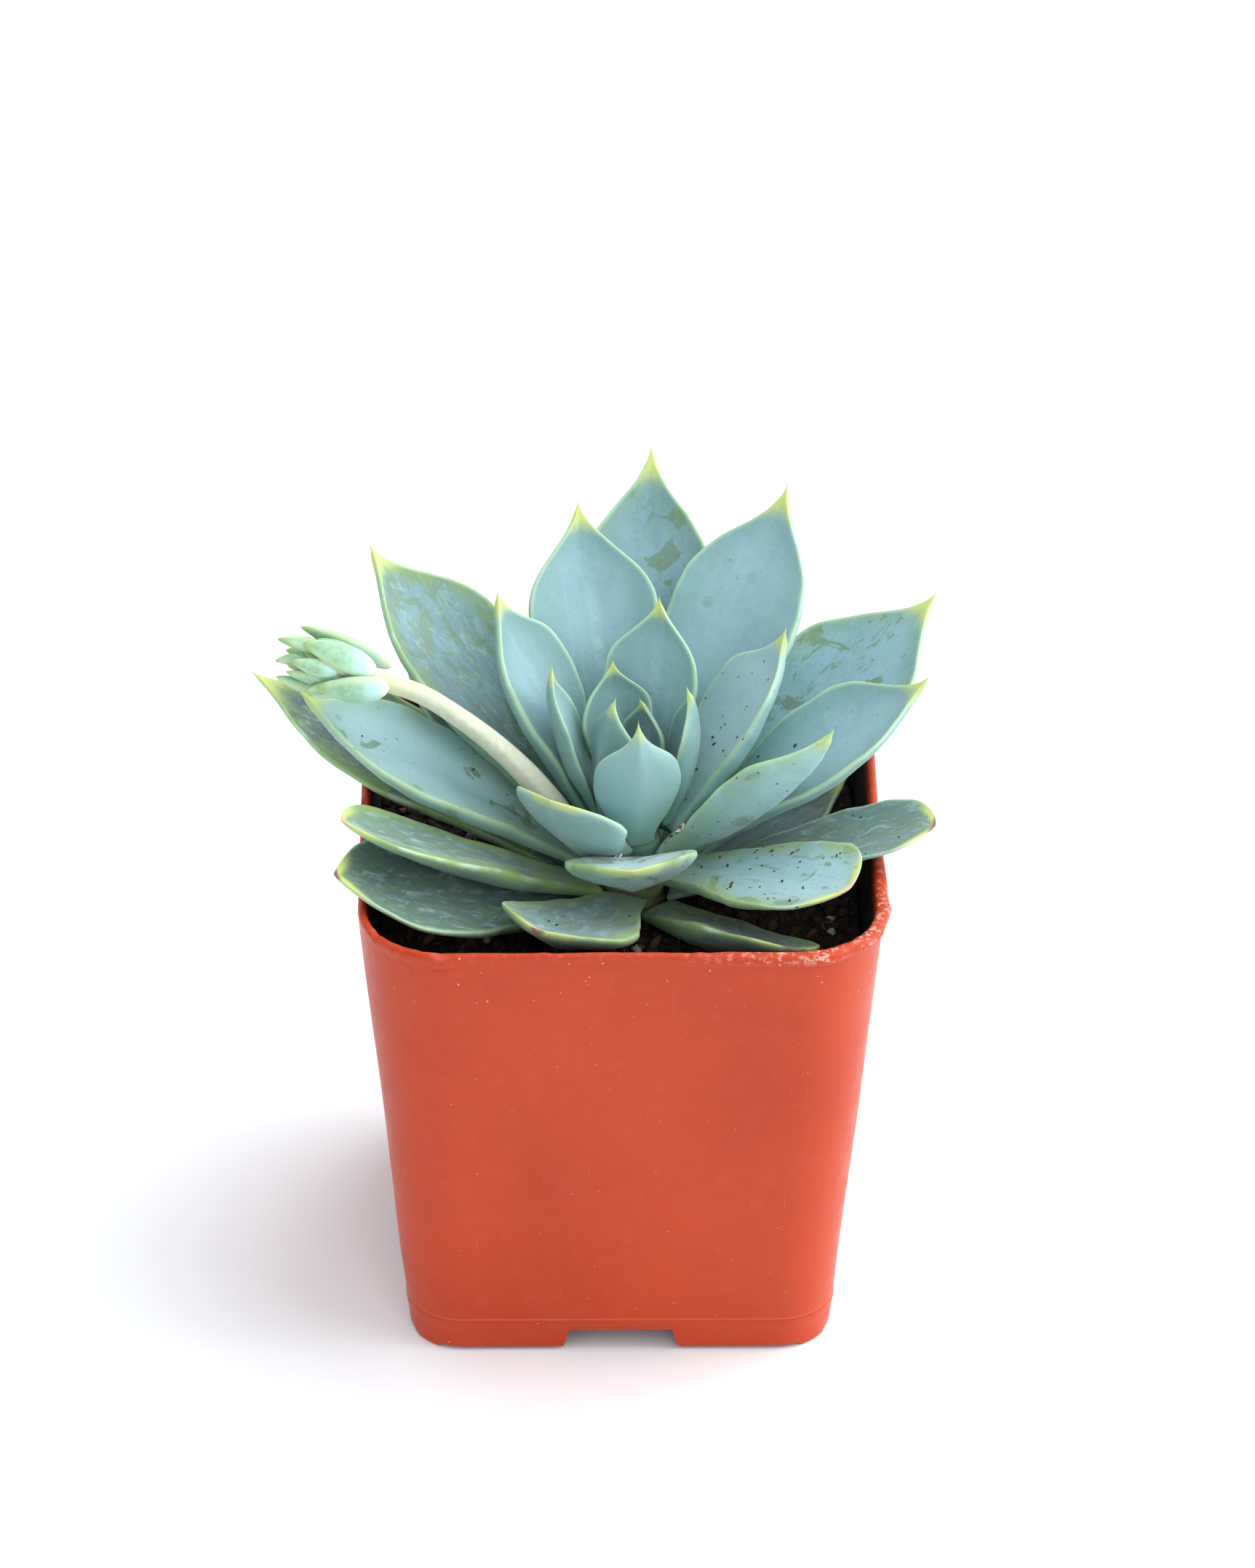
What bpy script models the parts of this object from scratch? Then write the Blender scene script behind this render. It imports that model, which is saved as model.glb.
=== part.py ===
"""A potted succulent: a rosette of fleshy leaves and one flower stalk in a small square plastic pot.

The sizes below are in millimetres and degrees. The scene is in metres, with +Z up.
The front is towards -Y. Azimuths are measured from +X (right) towards +Y (back).
"""

import math

import bpy
from mathutils import Vector, noise

MM = 0.001
GAP = 0.3

# Pot: a square cup with a taper, on a skirt with four feet and four notches.
# POT_X and POT_Y move the whole plant, so that the middle of its box is at the origin.
POT_X = 2.6
POT_Y = -5.3
POT_TOP = 57.0
POT_BOTTOM = 46.7
POT_HEIGHT = 56.2
POT_WALL = 1.0
TOP_CORNER = 9.7
BOTTOM_CORNER = 6.1
FOOT_HEIGHT = 0.4
FLOOR_UNDER = 3.2
FLOOR_THICK = 1.0
NOTCH_WIDTH = 12.0
NOTCH_TOP = 2.8
DRAIN_DIAMETER = 5.5
DRAIN_OUT = 11.0
DRAIN_SIDES = 16
NOTCH_ROUND = 1.8
NOTCH_INNER = 18.0
NOTCH_DEPTH = 12.0
FLOOR_ROUND = 1.5
LIP_OUT = 0.5
LIP_HEIGHT = 1.2
LIP_MIDDLE = math.radians(-45)
LIP_SPREAD = math.radians(40)
CORNER_STEPS = 6
SIDE_STEPS = 2

# The plant is drawn for a pot with a mouth this wide inside, and grows with that mouth.
# Its heights are above the top of the soil, and it stands in the soil, so it moves with it.
DRAWN_FOR = 55.0
GROWN = (POT_TOP - 2.0 * POT_WALL) / DRAWN_FOR

# Soil: fills the pot to below the rim and leaves a socket for the stem.
SOIL_DROP = 10.6
SOIL_TOP = POT_HEIGHT - SOIL_DROP * GROWN
SOIL_ROUGH = 0.7
SOIL_DISH = 2.6
DISH_SPREAD = 10.0
SOIL_EDGE = 1.0
SOIL_RINGS = 7

# Stem: short and stout, off the middle of the pot.
STEM_X = 1.2
STEM_Y = 0.5
STEM_BOTTOM = -11.6
STEM_TOP = 11.9
STEM_SHOULDER = 2.4
STEM_RADIUS = 3.9
STEM_SIDES = 20
STEM_RINGS = (STEM_BOTTOM, -5.6, 0.4, 3.4, 5.4, 7.4, 9.4, 10.9)

# Leaves. Each row: azimuth, rise at the base, further rise to the tip, length, width,
# height of the base, roll about its own length, sideways bend, thickness, shape of the blade.
LEAF_STEPS = 11
LEAF_SIDES = 12
LEAF_FOOT_OUT = 1.0
LEAF_PATH_STEPS = 40
# A blade's shape: where it is widest, two powers that draw in its tip, and its cupping in degrees.
# With the second power over DRAWN_OUT, the tip is drawn out to a thin point between hollow sides.
DRAWN_OUT = 1.2
POINTED = (0.60, 2.1, 1.45, 32)
SHALLOW = (0.60, 2.1, 1.45, 18)
BLUNT = (0.74, 3.0, 0.75, 16)
BROAD = (0.70, 2.4, 1.05, 18)
LOW = (0.50, 1.9, 1.35, 36)
LEAVES = {
    "leaf_low_front_left": (214, 17.5, 14, 35, 15, 0.4, -14, -11, 2.5, BROAD),
    "leaf_low_front": (254, 13, 22, 23.6, 15.5, 2.2, 0, -18, 3.0, BROAD),
    "leaf_low_front_right": (307, 13, 10, 25.6, 12, 0.1, -25, 0, 2.8, BLUNT),
    "leaf_right_blunt": (318.8, 18.6, -1.4, 27.8, 14, 5.0, 6, 0, 2.2, BLUNT),
    "leaf_right_low": (344.2, 26, -5.6, 32.2, 13.1, 1.4, -2, 0, 1.6, BLUNT),
    "leaf_left_low": (210, 26, 4, 33.2, 12, 2.6, 8, -16, 2.6, BLUNT),
    "leaf_left_short": (192, 15, 3, 12, 3.8, 1.5, 0, 0, 0.6, POINTED),
    "leaf_left_far": (160, 25, -6, 42.6, 15.5, 1.6, -4, 0, 2.4, SHALLOW),
    "leaf_left_long": (178, 30, 5, 37.2, 14, 4.7, -10, 0, 2.8, POINTED),
    "leaf_back_left_low": (141, 31, 6, 34, 13, 3.5, -6, 0, 2.6, POINTED),
    "leaf_back_left": (147, 38, 7, 39.6, 17, 6.4, 0, 0, 3.0, POINTED),
    "leaf_back_left_inner": (150, 58, 6, 27.4, 12, 8.6, 0, 0, 2.7, POINTED),
    "leaf_back_inner": (104.8, 52, 6, 34, 15.3, 7.6, 0, -2, 2.9, POINTED),
    "leaf_back": (86, 38, 8, 45.2, 15.5, 3.3, 0, 0, 3.4, POINTED),
    "leaf_back_right": (56.4, 43, 8, 40, 16.5, 6.2, 0, 0, 3.1, POINTED),
    "leaf_right_back": (33, 28, 6, 41.4, 17, 2.8, 12, 0, 3.2, POINTED),
    "leaf_right": (3.3, 33, 5, 34.2, 14.8, 5.7, 8, 0, 2.5, POINTED),
    "leaf_right_inner": (25, 50, 7, 25, 12, 7.8, -5, 0, 2.8, POINTED),
    "leaf_right_front": (335, 41, 6, 27.2, 12, 7.2, -22, 0, 2.8, POINTED),
    "leaf_front_stub": (270, 30, -3, 15, 14.5, 6.6, 4, 0, 3.2, BROAD),
    "leaf_front_left_stub": (236, 40, 12, 17, 13.5, 8.3, 0, 0, 3.0, BROAD),
    "leaf_inner_back": (74, 64, 7, 22.2, 11, 9.5, 0, 0, 2.3, POINTED),
    "leaf_inner_left": (175, 69, 6, 18.8, 7, 9.8, 0, 0, 1.6, POINTED),
    "leaf_inner_right": (5, 75, 8, 16.2, 7.5, 9.2, 0, 0, 2.0, POINTED),
    "leaf_inner_front": (277, 75.5, 8, 16, 9.9, 8.9, 0, 0, 2.0, LOW),
    "leaf_heart_back": (111, 75, 8, 15.6, 8.4, 10.4, 0, 0, 1.7, POINTED),
    "leaf_heart_left": (218, 90, 0, 14.6, 8, 10.2, 0, 0, 1.6, POINTED),
    "leaf_heart_right": (52, 92, 0, 12.8, 6, 10.4, 0, 0, 1.6, POINTED),
    "leaf_under_back": (72, 16, 8, 21, 12, 0.8, 0, 0, 2.6, POINTED),
    "leaf_under_back_left": (118, 14, 8, 20, 12, 0.4, 0, 0, 2.6, POINTED),
    "leaf_under_right": (24, 13, 8, 22, 12, 0.4, 0, 0, 2.6, POINTED),
}

# Flower stalk: points along its middle from the stem to its tip, with its radius at each.
STALK_SIDES = 10
STALK_STEPS = 3
STALK = (
    (-4.4, -0.8, 7.8, 1.2),
    (-5.9, -1.5, 10, 1.5),
    (-7.8, -1.8, 13.2, 1.5),
    (-10.4, -1.8, 16.9, 1.35),
    (-14.0, -1.7, 20.8, 1.2),
    (-18.0, -1.5, 24.2, 1.1),
    (-21.5, -1.3, 26.6, 1.05),
    (-25.0, -1.2, 28, 1.0),
    (-29.0, -1.2, 29, 0.8),
    (-33.0, -1.2, 30.4, 0.7),
)

# Bracts and closed buds round the tip of the stalk. Each row: its foot, its tip, its width and
# its thickness.
BRACT_STEPS = 7
BRACT_SIDES = 8
BRACT_AXIS = (-30.0, -1.2, 29.8)
BRACTS = {
    "bract_back": ((-24.8, 0.9, 28.7), (-34.7, 1.7, 33.5), 2.8, 1.6),
    "bract_upper": ((-26.4, -2.2, 30.1), (-34.3, -2.8, 34.2), 3.0, 1.8),
    "bract_lower": ((-25.0, -3.2, 28.7), (-33.0, -4.6, 29.7), 3.2, 2.2),
    "bract_under": ((-26.8, -0.4, 27.1), (-36.4, -1.4, 28), 2.6, 1.6),
    "bract_middle": ((-30.2, -3.0, 30.6), (-35.6, -3.8, 32.5), 1.9, 1.4),
    "bract_middle_low": ((-31.8, -2.6, 29.6), (-36.2, -3.5, 31), 1.6, 1.1),
    "bract_tip_low": ((-33.4, -1.8, 28.3), (-37.3, -2.6, 29.8), 1.5, 1.1),
    "bract_tip_upper": ((-31.4, -1.4, 31.9), (-36.3, -1.8, 33.8), 1.7, 1.2),
    "bract_tip_back": ((-31.0, 0.6, 30.7), (-37.2, 0.6, 32.6), 1.9, 1.4),
    "bract_tip": ((-34.3, -1.3, 30.8), (-37.4, -1.5, 31.1), 1.4, 1.1),
    "bract_behind": ((-28.0, 1.6, 28.4), (-36.4, 2.2, 30.2), 2.4, 1.7),
}


def new_collection(name):
    found = bpy.data.collections.new(name)
    bpy.context.scene.collection.children.link(found)
    return found


def add_mesh(name, points, faces, collection):
    mesh = bpy.data.meshes.new(name)
    mesh.from_pydata([Vector(p) * MM for p in points], [], faces)
    mesh.update()
    made = bpy.data.objects.new(name, mesh)
    collection.objects.link(made)
    return made


def skin(loops):
    """Points and faces of a closed skin through equal loops. A loop of one point is a pole."""
    points = [p for loop in loops for p in loop]
    starts = []
    total = 0
    for loop in loops:
        starts.append(total)
        total += len(loop)
    faces = []
    for i in range(len(loops) - 1):
        a, b = starts[i], starts[i + 1]
        na, nb = len(loops[i]), len(loops[i + 1])
        sides = max(na, nb)
        for k in range(sides):
            j = (k + 1) % sides
            if na == 1:
                faces.append((a, b + j, b + k))
            elif nb == 1:
                faces.append((a + k, a + j, b))
            else:
                faces.append((a + k, a + j, b + j, b + k))
    return points, faces


def stem_radius(z):
    """Radius of the stem at a height above the soil: stout below, drawn in to a blunt top."""
    up = min(max((z - STEM_SHOULDER) / (STEM_TOP - STEM_SHOULDER), 0.0), 1.0)
    return STEM_RADIUS * (1.0 - up**1.6) ** 0.5


def blade(t, shape):
    """Half-width of a leaf at a fraction of its length, as a fraction of its greatest half-width."""
    widest, power, point, cup = shape
    if t < widest:
        return 0.32 + 0.68 * (0.5 - 0.5 * math.cos(math.pi * (t / widest) ** 1.1))
    u = (t - widest) / (1.0 - widest)
    if point > DRAWN_OUT:
        return 0.5 + 0.5 * math.cos(math.pi * u**1.6)
    return (1.0 - u**power) ** point


def leaf_loops(row, steps, sides):
    """Rings of a fleshy leaf from its foot to its pointed tip, flat above and full below."""
    azimuth, rise, curl, length, width, base, roll, bend, thick, shape = row
    start = math.radians(azimuth)
    out = stem_radius(base) + LEAF_FOOT_OUT
    centre = Vector((STEM_X + out * math.cos(start), STEM_Y + out * math.sin(start), base))
    fine = LEAF_PATH_STEPS
    path = []
    for i in range(fine + 1):
        t = i / fine
        lift = math.radians(rise + curl * t**1.5)
        turn = start + math.radians(bend) * t
        flat = Vector((math.cos(turn), math.sin(turn), 0.0))
        along = flat * math.cos(lift) + Vector((0.0, 0.0, math.sin(lift)))
        if i:
            centre = centre + (along + before).normalized() * (length / fine)
        before = along
        path.append((centre, along, turn))
    rings = []
    for i in range(steps + 1):
        t = 1.0 - (1.0 - i / steps) ** 1.15
        k = min(int(t * fine), fine - 1)
        part = t * fine - k
        here = path[k][0].lerp(path[k + 1][0], part)
        along = path[k][1].lerp(path[k + 1][1], part).normalized()
        turn = path[k][2]
        side = Vector((-math.sin(turn), math.cos(turn), 0.0))
        side = (side - along * side.dot(along)).normalized()
        up = along.cross(side)
        tilt = math.radians(roll) * min(t / 0.5, 1.0)
        turned_side = side * math.cos(tilt) + up * math.sin(tilt)
        up = up * math.cos(tilt) - side * math.sin(tilt)
        side = turned_side
        if i == steps:
            rings.append([here])
            continue
        half = 0.5 * width * blade(t, shape)
        bow = math.radians(shape[3]) * min(t / 0.3, 1.0) + 1e-4
        deep = thick * (0.6 + 0.4 * math.sin(math.pi * min(t / 0.8, 1.0) ** 0.9)) * (1.0 - t**6) ** 0.5
        deep = min(deep, 1.7 * half)
        ring = []
        for j in range(sides):
            turned = 2.0 * math.pi * j / sides
            s, h = math.cos(turned), math.sin(turned)
            off = deep * h * (0.22 if h > 0 else 0.78)
            x = half / bow * math.sin(bow * s) - off * math.sin(bow * s)
            y = half / bow * (1.0 - math.cos(bow * s)) + off * math.cos(bow * s)
            ring.append(here + side * x + up * y)
        rings.append(ring)
    middle = sum(rings[0], Vector()) / sides
    return [[middle]] + rings


def smooth_path(rows, steps):
    """Points of a smooth curve through rows of (x, y, z, radius)."""
    path = []
    last = len(rows) - 1
    for i in range(last):
        a, b = rows[max(i - 1, 0)], rows[i]
        c, d = rows[i + 1], rows[min(i + 2, last)]
        for j in range(steps):
            t = j / steps
            point = []
            for n in range(4):
                slope = c[n] - a[n]
                bend = 2 * a[n] - 5 * b[n] + 4 * c[n] - d[n]
                twist = 3 * b[n] - a[n] - 3 * c[n] + d[n]
                point.append(b[n] + 0.5 * t * (slope + t * (bend + t * twist)))
            path.append(point)
    path.append(list(rows[last]))
    return path


def tube_loops(path, sides):
    """Rings round a path of (x, y, z, radius), closed with a point at each end."""
    centres = [Vector(p[:3]) for p in path]
    last = len(path) - 1
    loops = [[centres[0]]]
    for i, p in enumerate(path):
        along = (centres[min(i + 1, last)] - centres[max(i - 1, 0)]).normalized()
        side = Vector((0.0, 1.0, 0.0))
        side = (side - along * side.dot(along)).normalized()
        up = along.cross(side)
        ring = []
        for j in range(sides):
            a = 2.0 * math.pi * j / sides
            ring.append(centres[i] + (side * math.cos(a) + up * math.sin(a)) * p[3])
        loops.append(ring)
    ahead = (centres[last] - centres[last - 1]).normalized() * path[last][3]
    loops.append([centres[last] + ahead])
    return loops


def bract_loops(row, steps, sides):
    """A fat pointed scale, flat towards the stalk and round on its outside."""
    foot, tip = Vector(row[0]), Vector(row[1])
    width, thick = row[2], row[3]
    along = (tip - foot).normalized()
    out = (foot + tip) / 2 - Vector(BRACT_AXIS)
    out = (out - along * out.dot(along)).normalized()
    side = along.cross(out)
    loops = [[foot]]
    for i in range(1, steps + 1):
        t = i / (steps + 1)
        full = math.sin(math.pi * t**0.75) ** 0.75 * (1.0 - 0.25 * t)
        middle = foot.lerp(tip, t) + out * (0.5 * thick * math.sin(math.pi * t) * 0.3)
        ring = []
        for j in range(sides):
            a = 2.0 * math.pi * j / sides
            h = math.sin(a)
            deep = thick * (0.55 if h > 0 else 0.45)
            ring.append(middle - side * (0.5 * width * full * math.cos(a)) + out * (deep * full * h))
        loops.append(ring)
    loops.append([tip])
    return loops


def clear_scene():
    for obj in list(bpy.data.objects):
        bpy.data.objects.remove(obj, do_unlink=True)


def shifted(loops):
    move = Vector((POT_X, POT_Y, 0.0))
    return [[Vector(p) + move for p in loop] for loop in loops]


def planted(loops):
    """Loops of the plant, grown to suit the pot and stood in its soil."""
    ground = Vector((0.0, 0.0, SOIL_TOP))
    return [[ground + Vector(p) * GROWN for p in loop] for loop in loops]


def pot_size(z):
    return POT_BOTTOM + (POT_TOP - POT_BOTTOM) * z / POT_HEIGHT


def pot_corner(z):
    return BOTTOM_CORNER + (TOP_CORNER - BOTTOM_CORNER) * z / POT_HEIGHT


def square_loop(z, inset=0.0, foot=False):
    """The pot's rounded square at one height, drawn in by an inset.

    With foot, the middle of each corner reaches the ground.
    """
    half = pot_size(z) / 2.0 - inset
    corner = pot_corner(z) - inset
    loop = []
    for quarter in range(4):
        start = math.radians(90 * quarter)
        mid = start + math.radians(45)
        cx = math.copysign(half - corner, math.cos(mid))
        cy = math.copysign(half - corner, math.sin(mid))
        for i in range(CORNER_STEPS + 1):
            a = start + math.radians(90 * i / CORNER_STEPS)
            low = foot and abs(i - CORNER_STEPS / 2) <= 1
            height = 0.0 if low else z
            loop.append(Vector((cx + corner * math.cos(a), cy + corner * math.sin(a), height)))
        a = start + math.radians(90)
        outward = Vector((math.cos(a), math.sin(a), 0.0))
        along = Vector((math.sin(a), -math.cos(a), 0.0))
        for i in range(1, SIDE_STEPS + 1):
            reach = (half - corner) * (1 - 2 * i / (SIDE_STEPS + 1))
            loop.append(outward * half + along * reach + Vector((0.0, 0.0, z)))
    return loop


def lip_loop(z, out):
    """The rim's outer edge: a small lip of waste plastic stands out along the front right corner."""
    loop = []
    for p in square_loop(z):
        turn = math.atan2(p.y, p.x)
        near = max(0.0, 1.0 - abs(turn - LIP_MIDDLE) / LIP_SPREAD)
        far = Vector((p.x, p.y, 0.0)).normalized() * out * min(1.0, 2.0 * near)
        loop.append(p + far)
    return loop


def pot_loops():
    floor = FLOOR_UNDER + FLOOR_THICK
    return [
        [Vector((0.0, 0.0, FLOOR_UNDER))],
        square_loop(FLOOR_UNDER, POT_WALL),
        square_loop(FOOT_HEIGHT, POT_WALL, True),
        square_loop(FOOT_HEIGHT, 0.0, True),
        square_loop(POT_HEIGHT - 2.0 * LIP_HEIGHT),
        lip_loop(POT_HEIGHT - LIP_HEIGHT, LIP_OUT),
        lip_loop(POT_HEIGHT, LIP_OUT),
        square_loop(POT_HEIGHT, POT_WALL),
        square_loop(floor + FLOOR_ROUND, POT_WALL),
        square_loop(floor, POT_WALL + FLOOR_ROUND),
        [Vector((0.0, 0.0, floor))],
    ]


def soil_height(x, y):
    """Top of the soil: dished round the stem, with lumps."""
    away = math.hypot(x - STEM_X * GROWN, y - STEM_Y * GROWN) / GROWN
    lumps = noise.noise(Vector((x, y, 0.0)) * 0.22) + 0.5 * noise.noise(Vector((x, y, 5.0)) * 0.55)
    return SOIL_TOP + (SOIL_ROUGH * lumps - SOIL_DISH * math.exp(-((away / DISH_SPREAD) ** 2))) * GROWN


def soil_loops():
    floor = FLOOR_UNDER + FLOOR_THICK
    wall = POT_WALL + GAP
    edge = square_loop(SOIL_TOP - SOIL_EDGE, wall)
    loops = [
        [Vector((0.0, 0.0, floor + GAP))],
        square_loop(floor + GAP, wall + FLOOR_ROUND),
        square_loop(floor + FLOOR_ROUND, wall),
        edge,
    ]
    stem = Vector((STEM_X, STEM_Y, 0.0)) * GROWN
    radius = STEM_RADIUS * GROWN + GAP
    socket = []
    for p in edge:
        turn = math.atan2(p.y - stem.y, p.x - stem.x)
        out = Vector((math.cos(turn), math.sin(turn), 0.0))
        socket.append(stem + out * radius)
    for i in range(SOIL_RINGS + 1):
        f = (0.03 + 0.97 * i / SOIL_RINGS) if i < SOIL_RINGS else 1.0
        ring = []
        for p, q in zip(edge, socket):
            x, y = p.x + (q.x - p.x) * f, p.y + (q.y - p.y) * f
            ring.append(Vector((x, y, soil_height(x, y))))
        loops.append(ring)
    low = SOIL_TOP + STEM_BOTTOM * GROWN - GAP
    loops.append([Vector((p.x, p.y, low)) for p in socket])
    loops.append([Vector((stem.x, stem.y, low))])
    return loops


def stem_loops():
    loops = [[Vector((STEM_X, STEM_Y, STEM_BOTTOM))]]
    for z in STEM_RINGS:
        ring = []
        for j in range(STEM_SIDES):
            a = 2.0 * math.pi * j / STEM_SIDES
            radius = stem_radius(z) * (0.8 if z == STEM_BOTTOM else 1.0)
            out = Vector((math.cos(a), math.sin(a), 0.0))
            ring.append(Vector((STEM_X, STEM_Y, z)) + out * radius)
        loops.append(ring)
    loops.append([Vector((STEM_X, STEM_Y, STEM_TOP))])
    return loops


def add_cutter(collection):
    """The skirt's four notches and the floor's four drain holes, as closed blocks of one mesh."""
    points = []
    faces = []

    def block(ring_a, ring_b):
        start = len(points)
        sides = len(ring_a)
        points.extend(ring_a + ring_b)
        faces.append(tuple(start + sides - 1 - k for k in range(sides)))
        faces.append(tuple(start + sides + k for k in range(sides)))
        for k in range(sides):
            j = (k + 1) % sides
            faces.append((start + k, start + j, start + sides + j, start + sides + k))

    half = NOTCH_WIDTH / 2
    outline = [(-half - 0.6, -1.0), (half + 0.6, -1.0), (half, 1.0)]
    for i in range(4):
        a = math.radians(90 * i / 3)
        x = half - NOTCH_ROUND * (1.0 - math.cos(a))
        outline.append((x, NOTCH_TOP - NOTCH_ROUND * (1.0 - math.sin(a))))
    outline = outline + [(-x, z) for x, z in reversed(outline[2:])]
    for quarter in range(4):
        a = math.radians(90 * quarter)
        out = Vector((math.cos(a), math.sin(a), 0.0))
        across = Vector((-math.sin(a), math.cos(a), 0.0))
        inner = [out * NOTCH_INNER + across * x + Vector((POT_X, POT_Y, z)) for x, z in outline]
        outer = [p + out * NOTCH_DEPTH for p in inner]
        block(inner, outer)
    for quarter in range(4):
        turn = math.radians(45 + 90 * quarter)
        middle = Vector((POT_X, POT_Y, FLOOR_UNDER - 1.0))
        middle += Vector((math.cos(turn), math.sin(turn), 0.0)) * DRAIN_OUT
        low = []
        for k in range(DRAIN_SIDES):
            a = 2.0 * math.pi * k / DRAIN_SIDES
            low.append(middle + Vector((math.cos(a), math.sin(a), 0.0)) * DRAIN_DIAMETER / 2)
        block(low, [p + Vector((0.0, 0.0, FLOOR_THICK + 2.0)) for p in low])
    cutter = add_mesh("pot_cutter", points, faces, collection)
    cutter.hide_render = True
    cutter.display_type = "WIRE"
    return cutter


def add_material(name, colour, roughness, metallic=0.0):
    made = bpy.data.materials.new(name)
    made.use_nodes = True
    shader = made.node_tree.nodes["Principled BSDF"]
    shader.inputs["Base Color"].default_value = (*colour, 1.0)
    shader.inputs["Roughness"].default_value = roughness
    shader.inputs["Metallic"].default_value = metallic
    made.diffuse_color = (*colour, 1.0)
    return made


def add_part(name, loops, material, collection):
    """One smooth closed node, moved with the whole plant so that its box is centred."""
    points, faces = skin(shifted(loops))
    made = add_mesh(name, points, faces, collection)
    made.data.materials.append(material)
    made.data.shade_smooth()
    return made


def main():
    clear_scene()
    parts = new_collection("potted_succulent")
    cutters = new_collection("cutters")
    plastic = add_material("pot_plastic", (0.58, 0.085, 0.045), 0.4)
    earth = add_material("soil_mix", (0.012, 0.009, 0.007), 0.95)
    stem_skin = add_material("stem_skin", (0.30, 0.28, 0.16), 0.7)
    leaf_skin = add_material("leaf_skin", (0.27, 0.46, 0.47), 0.55)
    stalk_skin = add_material("stalk_skin", (0.62, 0.60, 0.44), 0.55)
    bract_skin = add_material("bract_skin", (0.42, 0.66, 0.50), 0.5)

    pot = add_part("pot", pot_loops(), plastic, parts)
    cut = pot.modifiers.new("notches_and_drains", "BOOLEAN")
    cut.operation = "DIFFERENCE"
    cut.solver = "EXACT"
    cut.object = add_cutter(cutters)
    add_part("soil", soil_loops(), earth, parts)
    add_part("stem", planted(stem_loops()), stem_skin, parts)
    for name, row in LEAVES.items():
        add_part(name, planted(leaf_loops(row, LEAF_STEPS, LEAF_SIDES)), leaf_skin, parts)
    stalk = tube_loops(smooth_path(STALK, STALK_STEPS), STALK_SIDES)
    add_part("flower_stalk", planted(stalk), stalk_skin, parts)
    for name, row in BRACTS.items():
        add_part(name, planted(bract_loops(row, BRACT_STEPS, BRACT_SIDES)), bract_skin, parts)


main()
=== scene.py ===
"""Looks for a potted succulent: a rosette of powdery leaves and a flower stalk in a small square pot.

Sizes are in millimetres and are turned to metres when a mesh is made. +Z is up and -Y is the front.
"""

import math
import random

import bpy
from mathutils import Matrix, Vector, noise


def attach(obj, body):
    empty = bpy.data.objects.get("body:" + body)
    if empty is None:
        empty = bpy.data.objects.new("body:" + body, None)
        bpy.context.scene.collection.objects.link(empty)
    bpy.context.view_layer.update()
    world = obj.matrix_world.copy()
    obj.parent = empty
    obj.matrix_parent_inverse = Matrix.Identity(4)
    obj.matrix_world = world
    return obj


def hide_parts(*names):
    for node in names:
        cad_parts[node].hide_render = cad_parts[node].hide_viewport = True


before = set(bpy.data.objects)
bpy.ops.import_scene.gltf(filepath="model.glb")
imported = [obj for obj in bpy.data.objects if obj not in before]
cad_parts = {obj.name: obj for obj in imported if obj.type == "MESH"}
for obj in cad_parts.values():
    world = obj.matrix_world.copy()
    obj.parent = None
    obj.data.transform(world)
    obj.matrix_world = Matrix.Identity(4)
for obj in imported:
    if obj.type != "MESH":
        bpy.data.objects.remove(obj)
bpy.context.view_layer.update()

MM = 0.001
PER_MM = 1.0 / MM
SHIFT = Vector((2.6, -5.3, 0.0))
UP = Vector((0.0, 0.0, 1.0))

# -------- pot, in its own middle's coordinates
POT_TOP = 57.0
POT_BOTTOM = 46.7
POT_HEIGHT = 56.2
WALL = 1.0
TOP_CORNER = 9.7
BOTTOM_CORNER = 6.1
FLOOR_LOW = 3.2
FLOOR_HIGH = 4.2
FOOT = 0.4
NOTCH_HALF = 6.0
NOTCH_TOP = 2.8
SEAM_HEIGHT = 4.4
DRAIN_PLACE = 11.0
DRAIN_RADIUS = 2.75

# -------- plant, above the soil's top
SOIL_TOP = 45.6
STEM = Vector((1.2, 0.5, 0.0))
STEM_RADIUS = 3.9
STEM_TOP = 11.9
STEM_SHOULDER = 2.4
STEM_BURIED = 11.6
FOOT_OUT = 1.0

# Blades: where they are widest, two powers that shape the tip, and cupping in degrees.
POINTED = (0.60, 2.1, 1.45, 32)
SHALLOW = (0.60, 2.1, 1.45, 18)
BLUNT = (0.74, 3.0, 0.75, 16)
BROAD = (0.70, 2.4, 1.05, 18)
LOW = (0.50, 1.9, 1.35, 36)

LEAF_LOOKS = ("wear", "lime", "old", "grit", "deep")

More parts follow.
